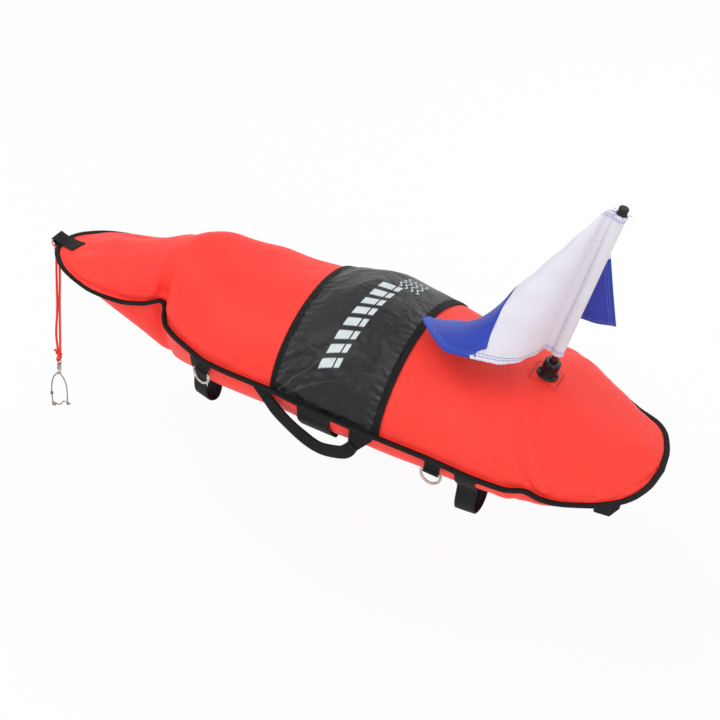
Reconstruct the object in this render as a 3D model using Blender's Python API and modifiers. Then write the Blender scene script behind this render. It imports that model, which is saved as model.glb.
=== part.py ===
"""An inflatable dive flag float.

Two coated fabric panels are welded at a flat flange and bound all round with folded webbing. A
swallowtail flag stands on a mast in a flanged socket, a two-strand lanyard with a swivel and a wire
clip hangs at the nose, and D-rings, a carry handle and webbing loops sit along the near side.

Metres, +Z up. X runs from the nose to the tail, the near side is -Y, and the origin is the middle of
the hull on the plane of its seam.
"""
import math

import bmesh
import bpy
from mathutils import Matrix, Vector
from mathutils.bvhtree import BVHTree

# Clearances
GAP = 0.0003
SEWN_GAP = 0.0007
MERGE = 0.000001
OVERRUN = 0.004

# Hull
LENGTH = 1.0
HALF_WIDTH = 0.166
CROWN_HEIGHT = 0.118
BELLY_DEPTH = 0.116
PANEL_CLOTH = 0.0009
FLANGE = 0.013
FLANGE_GAP = 0.0006
SEAM_LIFT = 0.018
STATION_STEP = 0.065
RIB_STEPS = 10
# Each row is a share of the length, then a share of the half width at the fabric's edge.
OUTLINE_SHARES = (
    (0, 0), (0.002, 0.072), (0.006, 0.145), (0.012, 0.21), (0.022, 0.277), (0.04, 0.367),
    (0.06, 0.428), (0.08, 0.47), (0.11, 0.512), (0.145, 0.524), (0.2, 0.506),
    (0.216, 0.478), (0.226, 0.45), (0.23, 0.448), (0.2345, 0.468), (0.241, 0.545), (0.2465, 0.585),
    (0.252, 0.618), (0.272, 0.699), (0.31, 0.801), (0.35, 0.886), (0.4, 0.904), (0.45, 0.904),
    (0.5, 0.934), (0.56, 0.959), (0.63, 0.973), (0.7, 0.976), (0.78, 1), (0.82, 0.984), (0.85, 0.925),
    (0.87, 0.905), (0.9, 0.838), (0.93, 0.741), (0.95, 0.675), (0.965, 0.61), (0.98, 0.5), (0.99, 0.361),
    (0.996, 0.229), (1, 0),
)
# Share of the length, then share of the seam's lift at its two puckers.
LIFT_SHARES = (
    (0, 0), (0.16, 0), (0.2, 0.45), (0.216, 0.8), (0.227, 1), (0.234, 0.78), (0.241, 0.42),
    (0.2465, 0.17), (0.252, 0), (0.31, 0), (0.82, 0), (0.85, 0.3), (0.87, 0.09), (0.9, 0), (1, 0),
)
# Share of the length, then share of the crown's height and of the belly's depth.
CROWN_SHARES = (
    (0, 0), (0.03, 0.051), (0.06, 0.161), (0.1, 0.288), (0.15, 0.42), (0.2, 0.6), (0.22, 0.718),
    (0.25, 0.86), (0.28, 0.847), (0.3, 0.833), (0.34, 0.787), (0.38, 0.778), (0.42, 0.792),
    (0.46, 0.851), (0.49, 0.943), (0.53, 1), (0.57, 0.988), (0.6, 0.97), (0.66, 0.906), (0.7, 0.851),
    (0.75, 0.801), (0.8, 0.738), (0.85, 0.62), (0.9, 0.43), (0.95, 0.23), (1, 0),
)
BELLY_SHARES = (
    (0, 0), (0.03, 0.052), (0.06, 0.172), (0.1, 0.371), (0.15, 0.612), (0.2, 0.9), (0.22, 1),
    (0.24, 0.98), (0.27, 0.92), (0.3, 0.862), (0.4, 0.827), (0.5, 0.801), (0.6, 0.758), (0.7, 0.724),
    (0.75, 0.68), (0.8, 0.603), (0.85, 0.5), (0.9, 0.362), (0.95, 0.19), (1, 0),
)
SPINE_FRONT_SHARE = 0.06
SPINE_REAR_SHARE = 0.9
PUCKER_START_SHARE = 0.19
PUCKER_END_SHARE = 0.28
PROBE = 0.0001
# Share of the length, then share of the tail's swing to the near side.
TAIL_SWING = 0.008
SWING_SHARES = (
    (0, 0), (0.82, 0), (0.85, 0.4), (0.87, 0.7), (0.9, 1), (0.93, 1), (0.95, 0.62), (0.965, 0.22),
    (0.98, 0), (1, 0),
)

# Seam binding
BINDING_CLOTH = 0.0012
BINDING_DEPTH = 0.0105
BINDING_HALF_INSIDE = FLANGE_GAP / 2 + PANEL_CLOTH + SEWN_GAP
BINDING_HALF = BINDING_HALF_INSIDE + BINDING_CLOTH
BINDING_FOLD_SHARE = 0.45

# Band over the top panel
BAND_FRONT = -0.05
BAND_REAR = 0.124
BAND_CLOTH = 0.0008
BAND_STANDOFF = 0.0006
BAND_TAPE = 0.011
BAND_TAPE_CLOTH = 0.0014

# Flag
FLAG_HEIGHT = 0.2455
FLY = 0.25
WHITE_WIDTH = 0.13
NOTCH = 0.065
FLAG_CLOTH = 0.0007
SLEEVE_BOTTOM = 0.0385
SLEEVE_HALF_LONG = 0.0085
SLEEVE_HALF_WIDE = 0.0068
FOLD_START = 0.018
LEAVE_TURN = math.radians(8)
TAIL_FOLD_OUT = 0.06
TAIL_CURL_RADIUS = 0.154
WHITE_ROWS = 9
BLUE_ROWS = 6
STRIP_COLUMNS = 2
FAN_STEP = math.radians(6)
# The cloth hangs in a cone from its top hoist corner. Each row gives one ruling: its share of the
# quarter turn from the hoist to the top edge, then how far it leans forward and to the near side, as
# shares of its own length.
RULING_SHARES = (
    (0, 0.162, 0), (0.167, 0.259, 0.248), (0.333, 0.465, 0.291), (0.5, 0.518, 0.083),
    (0.667, 0.348, 0.018), (0.833, 0.132, -0.186), (1, -0.133, -0.312),
)

# Mast, socket and nut, along the mast's axis from the top of the patch
MAST_FROM_END = 0.191
MAST_X = LENGTH / 2 - MAST_FROM_END
MAST_LEAN = math.radians(9.3)
PATCH_SIDE = 0.048
PATCH_CLOTH = 0.0009
PATCH_CORNER = 0.007
PATCH_STEPS = 8
SOCKET_FLANGE_RADIUS = 0.0162
SOCKET_FLANGE = 0.003
SOCKET_RADIUS = 0.0115
SOCKET_SHOULDER = 0.011
SOCKET_NECK_RADIUS = 0.009
SOCKET_NECK_TOP = 0.0185
SOCKET_DEPTH = 0.04
SOCKET_FLOOR = 0.002
SOCKET_SPIGOT_RADIUS = 0.0105
ROD_RADIUS = 0.0052
SEAL_HEIGHT = 0.003
NUT_RADIUS = 0.0122
NUT_TOP = 0.025
NUT_GROOVES = 8
NUT_GROOVE_RADIUS = 0.0022
TIP_RADIUS = 0.0068
TIP_LENGTH = 0.0095
TIP_WALL = 0.003
TIP_BEVEL = 0.0015
TIP_CLEARANCE = 0.001
TIP_TOP = SLEEVE_BOTTOM + FLAG_HEIGHT + TIP_CLEARANCE + TIP_LENGTH
ROD_TOP = TIP_TOP - TIP_WALL

# Webbing
WEBBING = 0.0015
TAB_WIDTH = 0.025

# D-rings
RING_WIRE = 0.002
RING_HALF_WIDTH = 0.015
RING_CORNER = 0.003
RING_TAB_WIDTH = 0.0232
RING_SIDE = 0.0015
RING_TURN_STEPS = 14
RING_DROP = 0.0215
RING_FRONT_X = -0.16
RING_REAR_X = 0.216
TAB_PLY_GAP = 0.0002

# Nose tab and ring
NOSE_RING_WIRE = 0.0013
NOSE_RING_HALF_WIDTH = 0.0146
NOSE_RING_AHEAD = 0.008
NOSE_RING_X = -LENGTH / 2 - NOSE_RING_AHEAD
NOSE_RING_Z = 0.006
NOSE_TAB_REACH = 0.04
NOSE_TAB_REAR = -LENGTH / 2 + NOSE_TAB_REACH
NOSE_TAB_STEPS = 5
NOSE_TAB_RIBS = 4
NOSE_FOLD_STEPS = 6

# Lanyard, measured down from the seam plane
CORD_RADIUS = 0.002
KNOT_LOOP_RADIUS = 0.005
KNOT_WRAP_RADIUS = 0.0034
KNOT_WRAPS = 3
LANYARD_KNOT_TOP = 0.226
# Share of the way down, then the sideways places of the two strands in cord radii.
STRAND_SHARES = (
    (0, -1.3, 1.3), (0.08, -1.45, 1.45), (0.2, -1.5, 1.6), (0.35, -1.35, 1.4), (0.5, -1.15, 1.15),
    (0.65, -1.7, 1.15), (0.78, -2.6, 1.2), (0.88, -2.3, 1.25), (0.95, -1.5, 1.2), (1, -1.2, 1.2),
)
STRAND_POINTS = 24

# Swivel
EYE_WIRE = 0.0009
EYE_RADIUS = 0.0043
BARREL_RADIUS = 0.0038
BARREL_LENGTH = 0.012
BARREL_WALL = 0.0009
SHANK_RADIUS = 0.001
HEAD_RADIUS = 0.0021
HEAD_HEIGHT = 0.0012

# Clip
CLIP_WIRE = 0.0011
CLIP_LENGTH = 0.074
CLIP_HALF_WIDTH = 0.016
CLIP_TURN_RADIUS = 0.0035
EYELET_RADIUS = 0.0021
LATCH_OFFSET = 0.003
BEAD_RADIUS = 0.0028
BEAD_HEIGHT = 0.005
# Share of the half width, then share of the length down from the apex.
LEFT_LEG_SHARES = ((-0.56, 0.28), (-0.92, 0.55), (-1, 0.76), (-0.9, 0.92))
RIGHT_LEG_SHARES = ((0.56, 0.28), (0.94, 0.55), (1, 0.74), (1, 0.84))
EYELET_SHARE = -0.72
CATCH_SHARE = 0.875

# Handle
HANDLE_FRONT_X = -0.06
HANDLE_REAR_X = 0.105
HANDLE_END_HALF_WIDTH = 0.018
GRIP_WIDTH = 0.021
GRIP_THICKNESS = 0.008
GRIP_STEPS = 16
HANDLE_DROP = 0.058
HANDLE_HINGE = 0.0015
# Share of half the span along the seam, then share of the drop.
GRIP_SHARES = (
    (-0.86, 0.17), (-0.52, 0.5), (-0.11, 0.82), (0.29, 1), (0.67, 0.87), (0.81, 0.72), (0.91, 0.43),
)

# Tail tab
TAIL_TAB_FROM_END = 0.0463
TAIL_TAB_X = LENGTH / 2 - TAIL_TAB_FROM_END
TAIL_TAB_HALF_WIDTH = 0.019
TAIL_TAB_SIDE = 0.0072
TAIL_TAB_DROP = 0.0196
TAIL_TAB_POINT_SHARE = 0.34

# Belly loops
LOOP_CLOTH = 0.0016
LOOP_STEPS = 12
LOOP_SQUARENESS = 0.8
STRAP_START = 12
STRAP_RUN = 20
# Middle, width, angles round the belly in degrees where the loop leaves and lands, depth and bulge.
BELLY_LOOPS = (
    ("belly_loop_front", -0.171, 0.025, 33, 62, 0.038, 0.006),
    ("belly_loop_middle", 0.031, 0.05, 27, 56, 0.012, 0.003),
    ("belly_loop_rear", 0.258, 0.028, 34, 64, 0.05, 0.008),
)

# Inflation valve on the underside
VALVE_X = 0.1
VALVE_Y = 0.025
VALVE_FLANGE_RADIUS = 0.017
VALVE_FLANGE = 0.0016
VALVE_NECK_RADIUS = 0.0082
VALVE_NECK = 0.0095
VALVE_BORE = 0.0042
VALVE_SPIGOT_RADIUS = 0.0105
VALVE_SPIGOT = 0.0105
VALVE_CHAMBER_RADIUS = 0.0078
VALVE_SEAT = 0.0015
FLAP_RADIUS = 0.0068
FLAP = 0.0014
FLAP_LIFT = 0.0025
CAP_RADIUS = 0.0112
CAP_WALL = 0.0016
CAP_GROOVES = 12
CAP_GROOVE_RADIUS = 0.0012

ROUND_STEPS = 24
BORE_SIDES = 32

X_AXIS = Vector((1, 0, 0))
Y_AXIS = Vector((0, 1, 0))
Z_AXIS = Vector((0, 0, 1))


def clear_scene():
    for item in list(bpy.data.objects):
        bpy.data.objects.remove(item, do_unlink=True)


def make_collection(name):
    collection = bpy.data.collections.new(name)
    bpy.context.scene.collection.children.link(collection)
    return collection


def make_material(name, colour, roughness, metallic=0.0):
    material = bpy.data.materials.new(name)
    material.use_nodes = True
    shader = material.node_tree.nodes["Principled BSDF"]
    shader.inputs["Base Color"].default_value = (*colour, 1)
    shader.inputs["Roughness"].default_value = roughness
    shader.inputs["Metallic"].default_value = metallic
    return material


clear_scene()
PARTS = make_collection("dive_flag_float")
CUTTERS = make_collection("cutters")
RED_FABRIC = make_material("red_coated_fabric", (0.9, 0.075, 0.045), 0.45)
BLACK_WEBBING = make_material("black_webbing", (0.02, 0.02, 0.022), 0.8)
BLACK_NYLON = make_material("black_nylon", (0.028, 0.028, 0.032), 0.5)
BLACK_PLASTIC = make_material("black_plastic", (0.015, 0.015, 0.016), 0.35)
BLACK_RUBBER = make_material("black_rubber", (0.012, 0.012, 0.012), 0.7)
BLACK_ROD = make_material("black_glass_fibre", (0.02, 0.012, 0.014), 0.3)
WHITE_CLOTH = make_material("white_flag_cloth", (0.82, 0.8, 0.85), 0.75)
BLUE_CLOTH = make_material("blue_flag_cloth", (0.02, 0.05, 0.42), 0.75)
RED_CORD = make_material("red_cord", (0.85, 0.03, 0.02), 0.7)
NICKEL = make_material("nickel_plated_steel", (0.62, 0.58, 0.53), 0.3, 1.0)
STAINLESS = make_material("stainless_wire", (0.5, 0.42, 0.38), 0.35, 1.0)


def hinge(name, frame, pieces):
    """An empty on a joint's axis that carries the named pieces, which stay where they are."""
    pivot = bpy.data.objects.new(name, None)
    pivot.empty_display_size = TAB_WIDTH
    pivot.matrix_world = frame
    PARTS.objects.link(pivot)
    for piece in pieces:
        item = PARTS.objects[piece]
        item.parent = pivot
        item.matrix_parent_inverse = frame.inverted()


def smooth_curve(points):
    """A monotone cubic through hand-chosen points, as a function of the first coordinate."""
    steps = [(b[1] - a[1]) / (b[0] - a[0]) for a, b in zip(points, points[1:])]
    slopes = [steps[0]]
    for before, after in zip(steps, steps[1:]):
        slopes.append(0 if before * after <= 0 else 2 * before * after / (before + after))
    slopes.append(steps[-1])

    def value(place):
        index = 0
        while index < len(points) - 2 and place > points[index + 1][0]:
            index += 1
        start, end = points[index], points[index + 1]
        span = end[0] - start[0]
        t = (place - start[0]) / span
        return (start[1] * (2 * t**3 - 3 * t**2 + 1) + end[1] * (3 * t**2 - 2 * t**3)
                + slopes[index] * span * (t**3 - 2 * t**2 + t) + slopes[index + 1] * span * (t**3 - t**2))

    return value


def smooth_route(places, count):
    """Evenly shared points on a Catmull-Rom curve through the given places."""
    places = [Vector(place) for place in places]
    ends = [2 * places[0] - places[1], *places, 2 * places[-1] - places[-2]]
    route = []
    for index in range(count):
        along = index / (count - 1) * (len(places) - 1)
        piece = min(int(along), len(places) - 2)
        t = along - piece
        a, b, c, d = ends[piece:piece + 4]
        route.append((2 * b + (c - a) * t + (2 * a - 5 * b + 4 * c - d) * t**2
                      + (3 * b - a - 3 * c + d) * t**3) / 2)
    return route


def add_object(name, data, material, collection=None, frame=None):
    item = bpy.data.objects.new(name, data)
    (collection or PARTS).objects.link(item)
    if frame is not None:
        item.matrix_world = frame
    if material is not None:
        data.materials.append(material)
    return item


def finish_mesh(name, shape, material, collection=None, frame=None, smooth=True):
    mesh = bpy.data.meshes.new(name)
    shape.to_mesh(mesh)
    shape.free()
    if smooth:
        mesh.shade_smooth()
        mesh.set_sharp_from_angle(angle=math.radians(40))
    return add_object(name, mesh, material, collection, frame)


def grid_shape(rows):
    """A grid bent to rows of points; rows or columns that meet are merged."""
    across, along = len(rows[0]) - 1, len(rows) - 1
    shape = bmesh.new()
    bmesh.ops.create_grid(shape, x_segments=across, y_segments=along, size=1)
    for vertex in shape.verts:
        column = round((vertex.co.x + 1) / 2 * across)
        row = round((vertex.co.y + 1) / 2 * along)
        vertex.co = rows[row][column]
    bmesh.ops.remove_doubles(shape, verts=shape.verts, dist=MERGE)
    return shape


def sheet(name, rows, cloth, material, way=1):
    """An open sheet thickened along its normal, column direction times row direction, or against it."""
    item = finish_mesh(name, grid_shape(rows), material)
    solid = item.modifiers.new("cloth", "SOLIDIFY")
    solid.thickness = cloth
    solid.offset = way
    return item


def skin(name, rings, material, closed_path=False, collection=None):
    """A closed skin through rings of points, capped at its ends unless the path closes."""
    rows = [[*ring, ring[0]] for ring in rings]
    if closed_path:
        rows.append(rows[0])
    shape = grid_shape(rows)
    if not closed_path:
        open_edges = [edge for edge in shape.edges if edge.is_boundary]
        bmesh.ops.holes_fill(shape, edges=open_edges, sides=0)
    bmesh.ops.recalc_face_normals(shape, faces=shape.faces)
    return finish_mesh(name, shape, material, collection)


def turned(name, profile, material, frame, closed=False, steps=ROUND_STEPS, collection=None):
    """A profile of radius and height pairs, running down its outer side, turned about local Z."""
    shape = bmesh.new()
    points = [shape.verts.new((radius, 0, height)) for radius, height in profile]
    for start, end in zip(points, points[1:]):
        shape.edges.new((start, end))
    if closed:
        shape.edges.new((points[-1], points[0]))
    item = finish_mesh(name, shape, material, collection, frame, smooth=False)
    turn = item.modifiers.new("turn", "SCREW")
    turn.axis = "Z"
    turn.steps = steps
    turn.render_steps = steps
    turn.use_merge_vertices = True
    turn.merge_threshold = MERGE
    turn.use_smooth_shade = True
    return item


def wire(name, points, radius, material, closed=False, collection=None):
    """A round wire along a path of points."""
    curve = bpy.data.curves.new(name, "CURVE")
    curve.dimensions = "3D"
    curve.bevel_depth = radius
    curve.bevel_resolution = 2
    curve.use_fill_caps = True
    line = curve.splines.new("POLY")
    line.points.add(len(points) - 1)
    for place, point in zip(line.points, points):
        place.co = (*point, 1)
    line.use_cyclic_u = closed
    return add_object(name, curve, material, collection)


def plate(name, outlines, thickness, material, frame):
    """A flat plate with one outline and any holes, in the local XY plane of its frame."""
    curve = bpy.data.curves.new(name, "CURVE")
    curve.dimensions = "2D"
    curve.fill_mode = "BOTH"
    curve.extrude = thickness / 2
    for outline in outlines:
        line = curve.splines.new("POLY")
        line.points.add(len(outline) - 1)
        for place, point in zip(line.points, outline):
            place.co = (*point, 0, 1)
        line.use_cyclic_u = True
    return add_object(name, curve, material, frame=frame)


def to_mesh_object(item):
    """The same object as a welded mesh, so that it can be cut or joined."""
    bpy.context.view_layer.update()
    graph = bpy.context.evaluated_depsgraph_get()
    mesh = bpy.data.meshes.new_from_object(item.evaluated_get(graph))
    shape = bmesh.new()
    shape.from_mesh(mesh)
    bmesh.ops.remove_doubles(shape, verts=shape.verts, dist=MERGE)
    shape.to_mesh(mesh)
    shape.free()
    name, frame = item.name, item.matrix_world.copy()
    collection = item.users_collection[0]
    bpy.data.objects.remove(item, do_unlink=True)
    solid = bpy.data.objects.new(name, mesh)
    collection.objects.link(solid)
    solid.matrix_world = frame
    return solid


def hide_tool(tool):
    for collection in list(tool.users_collection):
        collection.objects.unlink(tool)
    CUTTERS.objects.link(tool)
    tool.hide_render = True
    tool.display_type = "WIRE"


def apply_tool(item, tool, operation):
    cut = item.modifiers.new(tool.name, "BOOLEAN")
    cut.operation = operation
    cut.object = tool
    hide_tool(tool)


def cylinder(name, radius, bottom, top, frame, sides=BORE_SIDES):
    shape = bmesh.new()
    bmesh.ops.create_cone(shape, cap_ends=True, segments=sides, radius1=radius, radius2=radius,
                          depth=top - bottom, matrix=Matrix.Translation((0, 0, (top + bottom) / 2)))
    return finish_mesh(name, shape, None, CUTTERS, frame)


def ring_of_grooves(name, count, radius, distance, bottom, top, frame):
    """Round bars on a circle, as one cutter."""
    shape = bmesh.new()
    for index in range(count):
        angle = 2 * math.pi * index / count
        place = Matrix.Translation((distance * math.cos(angle), distance * math.sin(angle),
                                    (top + bottom) / 2))
        bmesh.ops.create_cone(shape, cap_ends=True, segments=10, radius1=radius, radius2=radius,
                              depth=top - bottom, matrix=place)
    return finish_mesh(name, shape, None, CUTTERS, frame)


def frame_at(place, x_axis, z_axis):
    """A frame at a place with the given X and Z directions."""
    x_axis, z_axis = Vector(x_axis).normalized(), Vector(z_axis).normalized()
    y_axis = z_axis.cross(x_axis).normalized()
    x_axis = y_axis.cross(z_axis)
    frame = Matrix.Identity(4)
    for column, axis in enumerate((x_axis, y_axis, z_axis)):
        for row in range(3):
            frame[row][column] = axis[row]
        frame[column][3] = place[column]
    return frame


def arc(centre, radius, start, end, steps):
    """Points on an arc in a plane, with its angles in degrees."""
    angles = [math.radians(start + (end - start) * index / steps) for index in range(steps + 1)]
    return [(centre[0] + radius * math.cos(a), centre[1] + radius * math.sin(a)) for a in angles]


# Hull surface

half_width_share = smooth_curve(OUTLINE_SHARES)
lift_share = smooth_curve(LIFT_SHARES)
swing_share = smooth_curve(SWING_SHARES)
crown_share = smooth_curve(CROWN_SHARES)
belly_share = smooth_curve(BELLY_SHARES)


def share_at(x):
    return min(max(x / LENGTH + 1 / 2, 0), 1)


def near_reach(x):
    """How far the near edge of the fabric is from the middle plane."""
    return HALF_WIDTH * half_width_share(share_at(x)) + TAIL_SWING * swing_share(share_at(x))


def seam_place(share, side):
    """A point on the fabric's edge; side is -1 near and 1 far."""
    across = side * HALF_WIDTH * half_width_share(share) - TAIL_SWING * swing_share(share)
    return Vector((LENGTH * (share - 1 / 2), across, SEAM_LIFT * lift_share(share)))


def seam_direction(share, side):
    """Direction of the fabric's edge towards the tail."""
    before, after = max(share - PROBE, 0), min(share + PROBE, 1)
    return (seam_place(after, side) - seam_place(before, side)).normalized()


def hull_stations():
    """Shares of the length where the panels have a rib, the band's edges among them."""
    shares = sorted({row[0] for row in OUTLINE_SHARES} | {share_at(BAND_FRONT), share_at(BAND_REAR)}
                    | {share_at(BAND_FRONT + BAND_TAPE), share_at(BAND_REAR - BAND_TAPE)})
    stations = [shares[0]]
    for share in shares[1:]:
        span = (seam_place(share, 1) - seam_place(stations[-1], 1)).length
        pieces = max(1, math.ceil(span / STATION_STEP))
        start = stations[-1]
        stations += [start + (share - start) * piece / pieces for piece in range(1, pieces + 1)]
    return stations


STATIONS = hull_stations()


def inward(share, side):
    """Level unit direction from the fabric's edge towards the hull's spine, squarer at the pucker."""
    place = seam_place(share, side)
    spine = min(max(share, SPINE_FRONT_SHARE), SPINE_REAR_SHARE)
    target = Vector((LENGTH * (spine - 1 / 2), -TAIL_SWING * swing_share(spine), place.z))
    straight = (target - place).normalized()
    if PUCKER_START_SHARE < share < PUCKER_END_SHARE:
        along = seam_direction(share, side)
        square = Vector((along.y * side, -along.x * side, 0)).normalized()
        return (straight * 2 + square).normalized()
    return straight


def flange_inner(share, side):
    return seam_place(share, side) + inward(share, side) * FLANGE


def flange_normal(share, side):
    """Upward normal of the flange at one side."""
    if share in (0, 1):
        return Z_AXIS
    return (seam_direction(share, side).cross(inward(share, side)) * -side).normalized()


def rib(share, half):
    """Points of one rib from the far side to the near side; half is 1 on top and -1 below."""
    near, far = flange_inner(share, -1), flange_inner(share, 1)
    middle_share = share_at((near.x + far.x) / 2)
    if half > 0:
        height = CROWN_HEIGHT * crown_share(middle_share)
    else:
        height = BELLY_DEPTH * belly_share(middle_share)
    near_lift = flange_normal(share, -1) * half * FLANGE_GAP / 2
    far_lift = flange_normal(share, 1) * half * FLANGE_GAP / 2
    points = [far + far_lift]
    for step in range(1, RIB_STEPS):
        angle = math.pi * step / RIB_STEPS
        rise = math.sin(angle)
        lift = near.z * (1 - rise)
        along = far.x + (near.x - far.x) * step / RIB_STEPS
        across = (far.y + near.y) / 2 + max(far.y - near.y, 0) / 2 * math.cos(angle)
        points.append(Vector((along, across, lift + half * (height * rise + FLANGE_GAP / 2))))
    points.append(near + near_lift)
    return [seam_place(share, 1) + far_lift, *points, seam_place(share, -1) + near_lift]


def hull_panel(name, half):
    """One panel, with its rows along the hull, thickened away from the hull's inside."""
    return sheet(name, [rib(share, half) for share in STATIONS], PANEL_CLOTH, RED_FABRIC, half)


def panel_tree(item):
    bpy.context.view_layer.update()
    return BVHTree.FromObject(item, bpy.context.evaluated_depsgraph_get())


def drop(tree, x, y, half):
    """Height of the outer face of a panel at a place, seen from outside."""
    start = Vector((x, y, half * LENGTH))
    hit = tree.ray_cast(start, -half * Z_AXIS)
    return hit[0].z


def highest(tree, x, y, half, reach):
    """Greatest distance of a panel from the seam plane in a small square round a place."""
    places = [(x + a * reach, y + b * reach) for a in (-1, 0, 1) for b in (-1, 0, 1)]
    hits = [tree.ray_cast(Vector((px, py, half * LENGTH)), -half * Z_AXIS)[0] for px, py in places]
    return max(half * hit.z for hit in hits if hit is not None)


def seam_frames(side):
    """Edge place, inward direction and upward normal at each station of one side."""
    return [(seam_place(share, side), inward(share, side), flange_normal(share, side))
            for share in STATIONS]


def binding_ring(place, into, up):
    """One section of the folded binding, round the two panels' edges."""
    fold = GAP + BINDING_CLOTH
    outline = (
        (BINDING_DEPTH, BINDING_HALF_INSIDE), (-GAP, BINDING_HALF_INSIDE),
        (-GAP, -BINDING_HALF_INSIDE), (BINDING_DEPTH, -BINDING_HALF_INSIDE),
        (BINDING_DEPTH, -BINDING_HALF), (-GAP, -BINDING_HALF),
        (-fold, -BINDING_HALF * BINDING_FOLD_SHARE), (-fold, BINDING_HALF * BINDING_FOLD_SHARE),
        (-GAP, BINDING_HALF), (BINDING_DEPTH, BINDING_HALF),
    )
    return [place + into * depth + up * height for depth, height in outline]


def make_hull():
    top = hull_panel("hull_top_panel", 1)
    bottom = hull_panel("hull_bottom_panel", -1)
    near = seam_frames(-1)
    far = seam_frames(1)
    rings = [binding_ring(*frame) for frame in near]
    rings += [binding_ring(*frame) for frame in reversed(far[1:-1])]
    skin("seam_binding", rings, BLACK_WEBBING, closed_path=True)
    return top, bottom


def even_direction(line, index):
    """Direction of a line at one of its points, and how much a corner there stretches an offset."""
    sides = []
    if index > 0:
        sides.append((line[index] - line[index - 1]).normalized())
    if index < len(line) - 1:
        sides.append((line[index + 1] - line[index]).normalized())
    together = sum(sides, Vector())
    return together.normalized(), len(sides) / together.length


def outward_rows(rows, distance):
    """Rows moved along the surface's own normal, the same distance from every face."""
    moved = []
    for r, row in enumerate(rows):
        line = []
        for c, point in enumerate(row):
            across, stretch = even_direction(row, c)
            along, lengthways = even_direction([other[c] for other in rows], r)
            line.append(point + across.cross(along).normalized() * distance * stretch * lengthways)
        moved.append(line)
    return moved


def band_rows(front, rear, standoff):
    """The top panel's own ribs between two places, drawn in to the binding and lifted clear."""
    rows = []
    for share in STATIONS:
        x = LENGTH * (share - 1 / 2)
        if front - MERGE <= x <= rear + MERGE:
            row = rib(share, 1)
            lip = (BINDING_DEPTH + GAP) / FLANGE
            row[0] = row[0].lerp(row[1], lip)
            row[-1] = row[-1].lerp(row[-2], lip)
            rows.append(row)
    return outward_rows(rows, PANEL_CLOTH + standoff)


def make_band():
    """Nylon band with a bound tape along its front and rear edges."""
    front, rear = BAND_FRONT + BAND_TAPE, BAND_REAR - BAND_TAPE
    panel = band_rows(front, rear, BAND_STANDOFF)
    for point, rear_point in zip(panel[0], panel[-1]):
        point.x += GAP
        rear_point.x -= GAP
    sheet("band_panel", panel, BAND_CLOTH, BLACK_NYLON)
    for name, start, end in (("band_front_binding", BAND_FRONT, front),
                             ("band_rear_binding", rear, BAND_REAR)):
        sheet(name, band_rows(start, end, BAND_STANDOFF), BAND_TAPE_CLOTH, BLACK_WEBBING)


def mast_axis():
    return Vector((math.sin(MAST_LEAN), 0, math.cos(MAST_LEAN)))


def patch_rows(tree, lift):
    """A square of points lying on the top panel round the mast."""
    rows = []
    for along in range(PATCH_STEPS + 1):
        x = MAST_X + PATCH_SIDE * (along / PATCH_STEPS - 1 / 2)
        row = []
        for across in range(PATCH_STEPS, -1, -1):
            y = PATCH_SIDE * (across / PATCH_STEPS - 1 / 2)
            corner = max(abs(x - MAST_X), abs(y)) / (PATCH_SIDE / 2)
            both = min(abs(x - MAST_X), abs(y)) / (PATCH_SIDE / 2)
            pull = 1 - PATCH_CORNER / PATCH_SIDE * corner**4 * both**4
            px, py = MAST_X + (x - MAST_X) * pull, y * pull
            row.append(Vector((px, py, drop(tree, px, py, 1) + lift)))
        rows.append(row)
    return rows


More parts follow.
